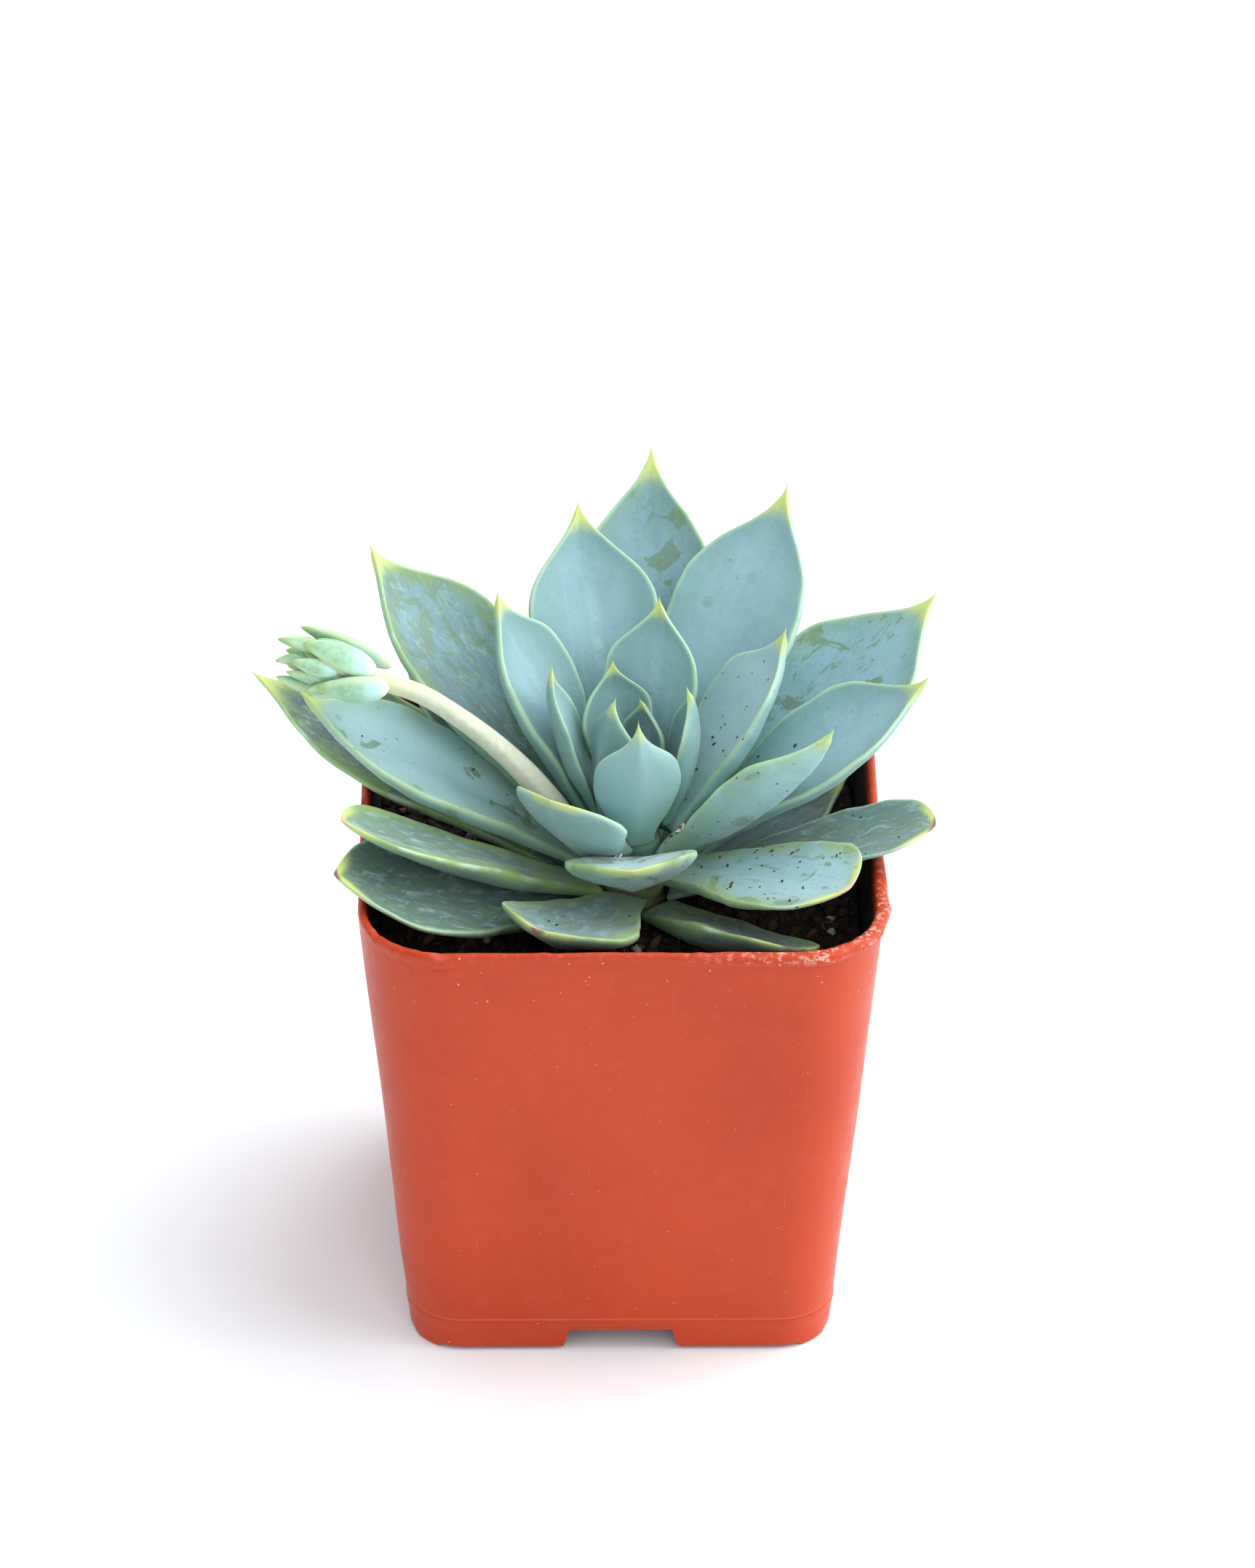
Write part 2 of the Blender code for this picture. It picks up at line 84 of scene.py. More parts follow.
# Leaves: azimuth, rise, curl, length, width, base height, roll, bend, thickness, blade, and then how
# worn the powder is, how lime the margin, how old the tip, how gritty, and how deep the green.
LEAVES = {
    "leaf_low_front_left": (214, 17.5, 14, 35, 15, 0.4, -14, -11, 2.5, BROAD, 0.85, 0.6, 1.0, 0.1, 1.2),
    "leaf_low_front": (254, 13, 22, 23.6, 15.5, 2.2, 0, -18, 3.0, BROAD, 0.8, 0.9, 1.0, 0.2, 0.6),
    "leaf_low_front_right": (307, 13, 10, 25.6, 12, 0.1, -25, 0, 2.8, BLUNT, 0.8, 1.0, 1.0, 0.2, 1.2),
    "leaf_right_blunt": (318.8, 18.6, -1.4, 27.8, 14, 5.0, 6, 0, 2.6, BLUNT, 0.55, 0.85, 0.5, 0.8, -0.4),
    "leaf_right_low": (344.2, 26, -5.6, 32.2, 13.1, 1.4, -2, 0, 2.0, BLUNT, 0.8, 0.5, 1.0, 0.4, 0.95),
    "leaf_left_low": (210, 26, 4, 33.2, 12, 2.6, 8, -16, 2.6, BLUNT, 0.95, 1.0, 0.2, 0.1, 0.0),
    "leaf_left_short": (192, 15, 3, 12, 5.0, 1.5, 0, 0, 1.6, POINTED, 0.4, 0.3, 0.0, 0.1, 0.7),
    "leaf_left_far": (160, 25, -6, 42.6, 15.5, 1.6, -4, 0, 2.4, SHALLOW, 0.8, 0.9, 0.0, 0.0, 1.3),
    "leaf_left_long": (178, 30, 5, 37.2, 12.7, 4.7, -10, 0, 2.8, POINTED, 0.4, 0.8, 0.0, 0.35, -0.6),
    "leaf_back_left_low": (141, 31, 6, 34, 13, 3.5, -6, 0, 2.6, POINTED, 0.7, 0.6, 0.0, 0.0, 0.7),
    "leaf_back_left": (147, 38, 7, 39.6, 17, 6.4, 0, 0, 3.0, POINTED, 0.72, 0.8, 0.0, 0.15, 0.5),
    "leaf_back_left_inner": (150, 58, 6, 27.4, 12, 8.6, 0, 0, 2.7, POINTED, 0.1, 0.7, 0.0, 0.1, 0.22),
    "leaf_back_inner": (104.8, 52, 6, 34, 15.3, 7.6, 0, -2, 2.9, POINTED, 0.05, 0.6, 0.0, 0.1, 0.12),
    "leaf_back": (86, 38, 8, 45.2, 15.5, 3.3, 0, 0, 3.4, POINTED, 0.5, 0.7, 0.1, 0.0, 0.3),
    "leaf_back_right": (56.4, 43, 8, 40, 16.5, 6.2, 0, 0, 3.1, POINTED, 0.3, 0.55, 0.1, 0.1, -0.15),
    "leaf_right_back": (33, 28, 6, 41.4, 17, 2.8, 12, 0, 3.2, POINTED, 0.6, 0.7, 0.25, 0.1, 0.1),
    "leaf_right": (3.3, 33, 5, 34.2, 14.8, 5.7, 8, 0, 2.5, POINTED, 0.25, 0.7, 0.0, 0.3, 0.05),
    "leaf_right_inner": (25, 50, 7, 25, 12, 7.8, -5, 0, 2.8, POINTED, 0.1, 0.6, 0.0, 0.6, -0.75),
    "leaf_right_front": (335, 41, 6, 27.2, 12, 7.2, -22, 0, 2.8, POINTED, 0.5, 0.8, 0.0, 0.9, -0.95),
    "leaf_front_stub": (270, 30, -3, 15, 14.5, 6.6, 4, 0, 3.4, BROAD, 0.6, 1.0, 0.0, 0.1, -1.35),
    "leaf_front_left_stub": (236, 40, 12, 17, 13.5, 8.3, 0, 0, 3.0, BROAD, 0.15, 0.8, 0.0, 0.1, -0.35),
    "leaf_inner_back": (74, 64, 7, 22.2, 11, 9.5, 0, 0, 2.3, POINTED, 0.0, 0.6, 0.0, 0.0, 0.1),
    "leaf_inner_left": (175, 69, 6, 18.8, 7, 9.8, 0, 0, 1.6, POINTED, 0.0, 0.6, 0.0, 0.0, 0.2),
    "leaf_inner_right": (5, 75, 8, 16.2, 7.5, 9.2, 0, 0, 2.0, POINTED, 0.0, 0.6, 0.0, 0.1, 0.2),
    "leaf_inner_front": (277, 75.5, 8, 16, 9.9, 8.9, 0, 0, 2.2, LOW, 0.0, 0.5, 0.0, 0.1, -0.75),
    "leaf_heart_back": (111, 75, 8, 15.6, 8.4, 10.4, 0, 0, 1.7, POINTED, 0.0, 0.6, 0.0, 0.0, 0.4),
    "leaf_heart_left": (218, 90, 0, 14.6, 8, 10.2, 0, 0, 1.6, POINTED, 0.0, 0.6, 0.0, 0.0, 0.6),
    "leaf_heart_right": (52, 92, 0, 12.8, 6, 10.4, 0, 0, 1.6, POINTED, 0.0, 0.6, 0.0, 0.0, 0.6),
    "leaf_under_back": (72, 16, 8, 21, 12, 0.8, 0, 0, 2.6, POINTED, 0.7, 0.7, 1.0, 0.2, 0.6),
    "leaf_under_back_left": (118, 14, 8, 20, 12, 0.4, 0, 0, 2.6, POINTED, 0.7, 0.7, 1.0, 0.2, 0.6),
    "leaf_under_right": (24, 13, 8, 22, 12, 0.4, 0, 0, 2.6, POINTED, 0.7, 0.7, 1.0, 0.2, 0.6),
}

STALK = (
    (-4.4, -0.8, 7.8, 1.2),
    (-5.9, -1.5, 10.0, 1.5),
    (-7.8, -1.8, 13.2, 1.5),
    (-10.4, -1.8, 16.9, 1.35),
    (-14.0, -1.7, 20.8, 1.2),
    (-18.0, -1.5, 24.2, 1.1),
    (-21.5, -1.3, 26.6, 1.05),
    (-25.0, -1.2, 28.0, 1.0),
    (-29.0, -1.2, 29.0, 0.8),
    (-33.0, -1.2, 30.4, 0.7),
)
BRACT_AXIS = Vector((-30.0, -1.2, 29.8))
BRACTS = {
    "bract_back": ((-24.8, 0.9, 28.7), (-34.7, 1.7, 33.5), 2.8, 1.6),
    "bract_upper": ((-26.4, -2.2, 30.1), (-34.3, -2.8, 34.2), 3.0, 1.8),
    "bract_lower": ((-25.0, -3.2, 28.7), (-33.0, -4.6, 29.7), 3.2, 2.2),
    "bract_under": ((-26.8, -0.4, 27.1), (-36.4, -1.4, 28.0), 2.6, 1.6),
    "bract_middle": ((-30.2, -3.0, 30.6), (-35.6, -3.8, 32.5), 1.9, 1.4),
    "bract_middle_low": ((-31.8, -2.6, 29.6), (-36.2, -3.5, 31.0), 1.6, 1.1),
    "bract_tip_low": ((-33.4, -1.8, 28.3), (-37.3, -2.6, 29.8), 1.5, 1.1),
    "bract_tip_upper": ((-31.4, -1.4, 31.9), (-36.3, -1.8, 33.8), 1.7, 1.2),
    "bract_tip_back": ((-31.0, 0.6, 30.7), (-37.2, 0.6, 32.6), 1.9, 1.4),
    "bract_tip": ((-34.3, -1.3, 30.8), (-37.4, -1.5, 31.1), 1.4, 1.1),
    "bract_behind": ((-28.0, 1.6, 28.4), (-36.4, 2.2, 30.2), 2.4, 1.7),
}


# ======== small helpers
def smooth(low, high, value):
    t = min(max((value - low) / (high - low), 0.0), 1.0)
    return t * t * (3.0 - 2.0 * t)


def wander(x, y, z, scale=1.0):
    """Smooth noise at a point."""
    return noise.noise(Vector((x, y, z)) * scale)


def heading(angle):
    return Vector((math.cos(angle), math.sin(angle), 0.0))


def angles(sides):
    return [2.0 * math.pi * j / sides for j in range(sides)]


def link(thing):
    bpy.context.scene.collection.objects.link(thing)


def make_piece(name, points, faces, material, floats=None, vectors=None):
    """A smooth-shaded mesh from points in millimetres, riding on the root body."""
    mesh = bpy.data.meshes.new(name)
    mesh.from_pydata([tuple(p * MM) for p in points], [], faces)
    mesh.update()
    for key, values in (floats or {}).items():
        layer = mesh.attributes.new(key, "FLOAT", "POINT")
        layer.data.foreach_set("value", values)
    for key, values in (vectors or {}).items():
        layer = mesh.attributes.new(key, "FLOAT_VECTOR", "POINT")
        layer.data.foreach_set("vector", [c for v in values for c in v])
    mesh.polygons.foreach_set("use_smooth", [True] * len(mesh.polygons))
    mesh.materials.append(material)
    made = bpy.data.objects.new(name, mesh)
    link(made)
    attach(made, "root")
    return made


def skin(loops):
    """Points and faces of a closed skin through equal loops. A loop of one point is a pole."""
    points = [p for loop in loops for p in loop]
    starts = [0]
    for loop in loops:
        starts.append(starts[-1] + len(loop))
    faces = []
    for i in range(len(loops) - 1):
        a, b = starts[i], starts[i + 1]
        na, nb = len(loops[i]), len(loops[i + 1])
        sides = max(na, nb)
        for k in range(sides):
            j = (k + 1) % sides
            if na == 1:
                faces.append((a, b + j, b + k))
            elif nb == 1:
                faces.append((a + k, a + j, b))
            else:
                faces.append((a + k, a + j, b + j, b + k))
    return points, faces


def ground(points):
    """Plant points, which are above the soil's top, as points of the row frame."""
    move = SHIFT + UP * SOIL_TOP
    return [p + move for p in points]


# ======== material helpers
class Shade:
    """Builds one material's node tree with short calls."""

    def __init__(self, name):
        self.material = bpy.data.materials.new(name)
        self.material.use_nodes = True
        self.tree = self.material.node_tree
        self.shader = self.tree.nodes["Principled BSDF"]

    def put(self, socket, value):
        if isinstance(value, bpy.types.NodeSocket):
            self.tree.links.new(value, socket)
        elif isinstance(value, (tuple, list)):
            socket.default_value = (*value, 1.0) if len(socket.default_value) == 4 else value
        else:
            socket.default_value = value

    def node(self, kind, inputs, out=0):
        made = self.tree.nodes.new("ShaderNode" + kind)
        for key, value in inputs.items():
            self.put(made.inputs[key], value)
        return made.outputs[out]

    def attribute(self, name, out="Fac"):
        made = self.tree.nodes.new("ShaderNodeAttribute")
        made.attribute_name = name
        return made.outputs[out]

    def place(self):
        """The point on the object, in millimetres."""
        return self.scaled(self.node("TexCoord", {}, "Object"), (PER_MM,) * 3)

    def scaled(self, vector, scale, turn=(0.0, 0.0, 0.0), move=(0.0, 0.0, 0.0)):
        return self.node("Mapping", {"Vector": vector, "Scale": scale, "Rotation": turn, "Location": move})

    def noise(self, vector, scale, detail=2.0, rough=0.5, distortion=0.0):
        inputs = {"Vector": vector, "Scale": scale, "Detail": detail, "Roughness": rough}
        return self.node("TexNoise", inputs | {"Distortion": distortion}, "Fac")

    def cells(self, vector, scale):
        return self.node("TexVoronoi", {"Vector": vector, "Scale": scale}, "Distance")

    def math(self, kind, a, b=0.0, clamp=False):
        made = self.tree.nodes.new("ShaderNodeMath")
        made.operation = kind
        made.use_clamp = clamp
        self.put(made.inputs[0], a)
        self.put(made.inputs[1], b)
        return made.outputs[0]

    def times(self, a, b, clamp=False):
        return self.math("MULTIPLY", a, b, clamp)

    def plus(self, a, b, clamp=False):
        return self.math("ADD", a, b, clamp)

    def less(self, a, b):
        return self.math("SUBTRACT", a, b)

    def ramp(self, value, low, high, from_value=0.0, to_value=1.0):
        made = self.tree.nodes.new("ShaderNodeMapRange")
        made.interpolation_type = "SMOOTHSTEP"
        for socket, number in zip(made.inputs, (value, low, high, from_value, to_value)):
            self.put(socket, number)
        return made.outputs[0]

    def mix(self, amount, a, b):
        made = self.tree.nodes.new("ShaderNodeMix")
        made.data_type = "RGBA"
        for number, value in ((0, amount), (6, a), (7, b)):
            self.put(made.inputs[number], value)
        return made.outputs[2]

    def paint(self, amount, colour):
        """Lays a colour over what has been painted so far."""
        self.colour = self.mix(amount, self.colour, colour)

    def bump(self, height, distance, strength):
        return self.node("Bump", {"Height": height, "Distance": distance * MM, "Strength": strength})

    def soften(self, weight, radius, sheen, specular):
        """Light that passes under the skin, as far as a radius in millimetres, and a powdery sheen."""
        settings = {"Subsurface Weight": weight, "Subsurface Radius": tuple(r * MM for r in radius)}
        settings |= {"Subsurface Scale": 1.0, "Sheen Weight": sheen, "Specular IOR Level": specular}
        for key, value in settings.items():
            self.put(self.shader.inputs[key], value)

    def finish(self, roughness, normal=None):
        self.put(self.shader.inputs["Base Color"], self.colour)
        self.put(self.shader.inputs["Roughness"], roughness)
        if normal is not None:
            self.put(self.shader.inputs["Normal"], normal)
        return self.material


# ======== materials
def leaf_material():
    """Powdery blue-green leaf: bloom with rubbed patches, pale lime margin and tip, bits of grit."""
    s = Shade("leaf_skin_grown")
    place = s.place()
    blade = s.attribute("blade", "Vector")
    edge, along, across, under = map(s.attribute, ("edge", "along", "across", "under"))
    wear, lime, old, grit, deep = map(s.attribute, LEAF_LOOKS)
    wide = s.noise(place, 0.11, 2.0)
    fine = s.noise(place, 1.6, 3.0, 0.6)
    bloom = s.mix(s.ramp(wide, 0.3, 0.7), (0.185, 0.345, 0.395), (0.245, 0.425, 0.50))
    bloom = s.mix(s.ramp(fine, 0.3, 0.75, 0.0, 0.38), bloom, (0.31, 0.49, 0.56))
    streak = s.noise(s.scaled(blade, (1.1, 0.10, 1.0)), 1.0, 2.0, 0.55)
    bloom = s.mix(s.ramp(streak, 0.42, 0.72, 0.0, 0.5), bloom, (0.275, 0.455, 0.545))
    flesh = s.mix(s.ramp(fine, 0.25, 0.8), (0.095, 0.180, 0.100), (0.155, 0.265, 0.145))
    # Greener towards the margins, the foot and the underside; some leaves are deeper all over.
    s.colour = s.mix(s.ramp(edge, 4.5, 0.6, 0.0, 0.45), bloom, (0.155, 0.335, 0.285))
    s.paint(s.ramp(along, 0.62, 0.06, 0.0, 0.85), (0.085, 0.265, 0.195))
    s.paint(s.times(deep, 0.75, clamp=True), (0.060, 0.135, 0.120))
    s.paint(s.times(deep, -0.7, clamp=True), (0.40, 0.60, 0.64))
    # A pale midrib, plainer on the leaves with most bloom left.
    rib = s.math("ABSOLUTE", s.plus(across, s.times(wide, 0.6)))
    rib = s.times(s.ramp(rib, 1.1, 0.25), s.ramp(along, 0.9, 0.6))
    rib = s.times(rib, s.ramp(wear, 0.3, 0.0, 0.1, 0.55))
    s.paint(s.times(rib, s.ramp(fine, 0.3, 0.7, 0.4, 1.0)), (0.36, 0.54, 0.58))
    # Rubbed patches: large blots, and short strokes along the leaf.
    blots = s.noise(place, 0.21, 4.0, 0.58, 0.7)
    level = s.math("MULTIPLY_ADD", wear, -0.34)
    level.node.inputs[2].default_value = 0.775
    blot = s.ramp(s.less(blots, level), -0.012, 0.03)
    strokes = s.noise(s.scaled(blade, (1.15, 0.34, 1.0)), 0.8, 4.0, 0.65, 0.5)
    stroke = s.ramp(s.less(strokes, level), 0.0, 0.06)
    worn = s.math("MAXIMUM", blot, s.times(stroke, s.ramp(wear, 0.25, 0.7)))
    worn = s.times(worn, s.ramp(fine, 0.15, 0.6, 0.4, 0.9))
    worn = s.times(worn, s.ramp(wear, 0.02, 0.25))
    s.paint(s.times(worn, s.ramp(deep, 0.0, 1.0, 0.95, 0.6)), flesh)
    # On the worn ones, bloom that is left stands out paler in smears.
    smear = s.noise(s.scaled(blade, (0.8, 0.30, 1.0)), 1.1, 5.0, 0.7, 0.8)
    smear = s.times(s.ramp(smear, 0.50, 0.66), s.ramp(wear, 0.4, 0.9, 0.0, 0.6))
    s.paint(smear, (0.34, 0.51, 0.55))
    # Round dark marks where drops or fingers took the bloom off.
    disc = s.ramp(s.cells(place, 0.115), 0.10, 0.07)
    s.paint(s.times(disc, s.ramp(wear, 0.15, 0.5, 0.0, 0.6)), flesh)
    # Margin and tip.
    rim = s.ramp(edge, 0.66, 0.05)
    rim = s.times(rim, s.ramp(along, 0.05, 0.4, 0.3, 1.0))
    s.paint(s.times(rim, s.ramp(lime, 0.0, 1.0, 0.4, 0.95)), (0.43, 0.62, 0.42))
    wash = s.times(s.ramp(edge, 3.4, 0.4), s.ramp(s.noise(place, 0.3, 3.0), 0.34, 0.54))
    wash = s.times(wash, s.ramp(lime, 0.55, 1.0, 0.0, 0.85))
    wash = s.times(wash, s.ramp(wear, 0.2, 0.6))
    s.paint(wash, (0.23, 0.38, 0.085))
    tip = s.ramp(s.plus(along, s.times(fine, 0.03)), 0.905, 0.972)
    tip = s.times(tip, s.ramp(edge, 2.2, 0.7, 0.1, 1.0))
    s.paint(tip, (0.52, 0.63, 0.20))
    end = s.ramp(along, 0.978, 0.996)
    s.paint(s.times(end, s.ramp(old, 0.0, 0.2, 0.2, 1.0)), (0.70, 0.44, 0.26))
    dried = s.times(s.ramp(along, 0.978, 0.992), s.ramp(old, 0.5, 0.9))
    s.paint(dried, (0.24, 0.085, 0.05))
    # Specks of soil.
    dots = s.ramp(s.cells(place, 0.85), 0.20, 0.12)
    where = s.times(s.ramp(s.noise(place, 0.9, 1.0), 0.52, 0.58), s.ramp(grit, 0.0, 0.8))
    s.paint(s.times(dots, where), (0.035, 0.025, 0.018))
    s.paint(s.times(under, 0.4), (0.165, 0.33, 0.285))
    rough = s.ramp(fine, 0.2, 0.8, 0.50, 0.66)
    rough = s.less(rough, s.times(worn, 0.16))
    height = s.plus(s.noise(place, 5.0, 2.0, 0.6), s.times(s.noise(place, 0.6, 2.0), 2.2))
    height = s.less(height, s.times(worn, 0.25))
    s.soften(0.14, (0.9, 1.3, 0.7), 0.15, 0.42)
    s.put(s.shader.inputs["Sheen Roughness"], 0.6)
    return s.finish(rough, s.bump(height, 0.05, 0.6))


def bract_material():
    s = Shade("bract_skin_grown")
    place = s.place()
    along = s.attribute("along")
    edge = s.attribute("edge")
    fine = s.noise(place, 1.4, 3.0)
    s.colour = s.mix(s.ramp(fine, 0.3, 0.7), (0.24, 0.45, 0.27), (0.33, 0.56, 0.38))
    # Painted highlight: the bract bases near the stalk are painted pale cyan, and near white at the very
    # foot.
    s.paint(s.ramp(along, 0.55, 0.2), (0.42, 0.68, 0.64))
    s.paint(s.ramp(along, 0.22, 0.06), (0.70, 0.74, 0.66))
    s.paint(s.ramp(edge, 0.5, 0.05, 0.0, 0.7), (0.50, 0.66, 0.40))
    s.paint(s.ramp(along, 0.80, 0.97, 0.0, 0.8), (0.30, 0.44, 0.15))
    height = s.plus(s.noise(place, 5.0, 2.0), s.noise(place, 1.2, 2.0))
    s.soften(0.2, (0.8, 1.2, 0.6), 0.15, 0.42)
    return s.finish(s.ramp(fine, 0.2, 0.8, 0.46, 0.62), s.bump(height, 0.03, 0.5))


def stalk_material():
    s = Shade("stalk_skin_grown")
    place = s.place()
    along = s.attribute("along")
    fine = s.noise(place, 1.5, 3.0)
    lines = s.noise(s.scaled(s.attribute("blade", "Vector"), (2.2, 0.12, 1.0)), 1.0, 3.0)
    s.colour = s.mix(s.ramp(fine, 0.3, 0.7), (0.50, 0.56, 0.41), (0.59, 0.64, 0.51))
    s.paint(s.ramp(lines, 0.4, 0.7, 0.0, 0.4), (0.62, 0.54, 0.44))
    s.paint(s.ramp(along, 0.42, 0.0, 0.0, 0.8), (0.42, 0.37, 0.30))
    s.paint(s.ramp(along, 0.62, 0.78, 0.0, 0.6), (0.66, 0.72, 0.42))
    height = s.plus(s.noise(place, 4.0, 2.0), s.times(lines, 2.0))
    s.soften(0.2, (1.2, 1.1, 0.7), 0.1, 0.5)
    return s.finish(s.ramp(fine, 0.2, 0.8, 0.5, 0.64), s.bump(height, 0.04, 0.5))


def stem_material():
    s = Shade("stem_skin_grown")
    place = s.place()
    fine = s.noise(place, 1.2, 4.0, 0.6)
    scars = s.noise(s.scaled(place, (0.25, 0.25, 1.4)), 1.0, 3.0)
    s.colour = s.mix(s.ramp(fine, 0.3, 0.7), (0.10, 0.15, 0.07), (0.24, 0.27, 0.13))
    s.paint(s.ramp(scars, 0.5, 0.65, 0.0, 0.7), (0.16, 0.10, 0.06))
    s.paint(s.ramp(s.attribute("high"), 2.0, 5.0), (0.13, 0.29, 0.215))
    return s.finish(s.ramp(fine, 0.2, 0.8, 0.6, 0.85), s.bump(scars, 0.25, 0.8))


# Fine rubbed lines: how they are turned, how far they are drawn out, and how few they are.
SCRATCHES = ((0.5, 0.03, 0.70), (-0.9, 0.04, 0.72), (1.4, 0.05, 0.72))


def pot_material():
    """Thin press-moulded plastic: satin, faintly mottled, scuffed, dusty near the rim, with painted shade
    inside.
    """
    s = Shade("pot_plastic_used")
    place = s.place()
    inside = s.attribute("inside")
    rim = s.attribute("rim")
    low = s.attribute("low")
    wide = s.noise(place, 0.045, 3.0)
    cloud = s.noise(place, 0.5, 4.0, 0.6)
    s.colour = s.mix(s.ramp(wide, 0.3, 0.7), (0.43, 0.034, 0.002), (0.485, 0.043, 0.004))
    s.paint(s.ramp(cloud, 0.45, 0.8, 0.0, 0.32), (0.49, 0.072, 0.034))
    # Fine rubbed lines in several directions.
    scratch = None
    for number, (turn, stretch, level) in enumerate(SCRATCHES):
        scale, move = (3.4, 1.0, 3.4 * stretch), (7.0 * number, 3.0, 11.0)
        turned = s.scaled(place, scale, (0.0, turn, 0.2 * turn), move)
        lines = s.ramp(s.noise(turned, 1.0, 3.0, 0.6), level, level + 0.05)
        scratch = lines if scratch is None else s.math("MAXIMUM", scratch, lines)
    scratch = s.times(scratch, s.ramp(s.noise(place, 0.13, 2.0), 0.42, 0.62))
    s.paint(s.times(scratch, 0.3), (0.78, 0.30, 0.22))
    # Pale specks of dust and lime, thicker just under the rim.
    dots = s.ramp(s.cells(place, 1.1), 0.15, 0.08)
    chance = s.ramp(s.noise(place, 0.7, 2.0), 0.58, 0.66)
    near = s.math("MAXIMUM", s.ramp(rim, 9.0, 1.0, 0.35, 1.0), s.ramp(low, 8.0, 2.0))
    dusty = s.times(s.times(dots, chance), s.times(near, 0.7))
    s.paint(dusty, (0.80, 0.52, 0.42))
    chalk = s.times(s.ramp(rim, 1.4, 0.1), s.ramp(s.noise(place, 1.3, 4.0, 0.7), 0.50, 0.62))
    chalk = s.times(chalk, s.ramp(s.attribute("flash"), 0.25, 1.0, 0.06, 0.9))
    s.paint(chalk, (0.72, 0.42, 0.34))
    # The mould's parting line is painted as a pale line, a painted highlight, with a darker line under it
    # as painted shade.
    seam = s.math("ABSOLUTE", s.less(low, SEAM_HEIGHT + 0.12))
    s.paint(s.ramp(seam, 0.16, 0.02, 0.0, 0.25), (0.72, 0.18, 0.10))
    seam_shade = s.math("ABSOLUTE", s.less(low, SEAM_HEIGHT - 0.16))
    s.paint(s.ramp(seam_shade, 0.16, 0.02, 0.0, 0.35), (0.30, 0.030, 0.012))
    # Painted shade darkens the inner wall to near black, down from just below the rim; the same mask makes
    # it rougher.
    shade_reach = s.plus(inside, s.times(s.noise(place, 0.35, 4.0), 0.9))
    inner_shade = s.ramp(shade_reach, 1.0, 2.6)
    s.paint(inner_shade, (0.012, 0.008, 0.007))
    rough = s.ramp(cloud, 0.3, 0.75, 0.33, 0.46)
    rough = s.plus(rough, s.times(scratch, 0.18))
    rough = s.plus(rough, s.times(inner_shade, 0.45), clamp=True)
    height = s.plus(s.times(s.noise(place, 0.22, 2.0), 3.0), s.noise(place, 2.6, 3.0))
    height = s.less(height, scratch)
    s.soften(0.06, (1.6, 0.4, 0.2), 0.0, 0.33)
    return s.finish(rough, s.bump(height, 0.03, 0.5))


def grain_material(name, dark, light):
    """Loose bits: each grain has its own tone."""
    s = Shade(name)
    place = s.place()
    tone = s.attribute("tone")
    fine = s.noise(place, 1.5, 4.0, 0.65)
    s.colour = s.mix(tone, dark, light)
    s.paint(s.ramp(fine, 0.35, 0.75, 0.0, 0.5), tuple(0.55 * c for c in dark))
    return s.finish(s.ramp(fine, 0.2, 0.8, 0.8, 1.0), s.bump(fine, 0.12, 0.9))


def soil_material():
    s = Shade("soil_mix_loose")
    place = s.place()
    fine = s.noise(place, 1.3, 5.0, 0.7)
    lumps = s.cells(place, 0.9)
    s.colour = s.mix(s.ramp(fine, 0.3, 0.75), (0.010, 0.007, 0.005), (0.045, 0.030, 0.020))
    s.paint(s.ramp(lumps, 0.5, 0.1, 0.0, 0.5), (0.030, 0.018, 0.011))
    height = s.plus(s.times(fine, 2.0), s.times(lumps, -2.0))
    return s.finish(s.ramp(fine, 0.2, 0.8, 0.85, 1.0), s.bump(height, 0.35, 1.0))


# ======== leaves
DRAWN_OUT = 1.2
FOOT_WIDTH = 0.42
TIP_FLICK = 1.3
LEAF_STEPS = 66
LEAF_SIDES = 44
PATH_STEPS = 60


def stem_radius(z):
    up = min(max((z - STEM_SHOULDER) / (STEM_TOP - STEM_SHOULDER), 0.0), 1.0)
    return STEM_RADIUS * (1.0 - up**1.6) ** 0.5


def blade(t, shape):
    """Half-width at a fraction of the length, as a fraction of the greatest. The foot clasps the stem."""
    widest, power, point, _ = shape
    if t < widest:
        body = 0.5 - 0.5 * math.cos(math.pi * (t / widest) ** 1.1)
        return FOOT_WIDTH + (1.0 - FOOT_WIDTH) * body
    u = (t - widest) / (1.0 - widest)
    if point > DRAWN_OUT:
        return 0.5 + 0.5 * math.cos(math.pi * u**1.6)
    return (1.0 - u**power) ** point + 0.035 * smooth(0.75, 0.95, u) * (1.0 - u) ** 0.5


def leaf_path(row):
    """The leaf's middle line: (point, direction, heading) at even steps."""
    azimuth, rise, curl, length, _, base, _, bend = row[:8]
    start = math.radians(azimuth)
    out = stem_radius(base) + FOOT_OUT
    centre = STEM + Vector((out * math.cos(start), out * math.sin(start), base))
    path = []
    before = None
    for i in range(PATH_STEPS + 1):
        t = i / PATH_STEPS
        lift = math.radians(rise + curl * t**1.5)
        turn = start + math.radians(bend) * t
        along = heading(turn) * math.cos(lift) + Vector((0.0, 0.0, math.sin(lift)))
        if before is not None:
            centre = centre + (along + before).normalized() * (length / PATH_STEPS)
        before = along
        path.append((centre, along, turn))
    return path


GRIT_PLACES = {}


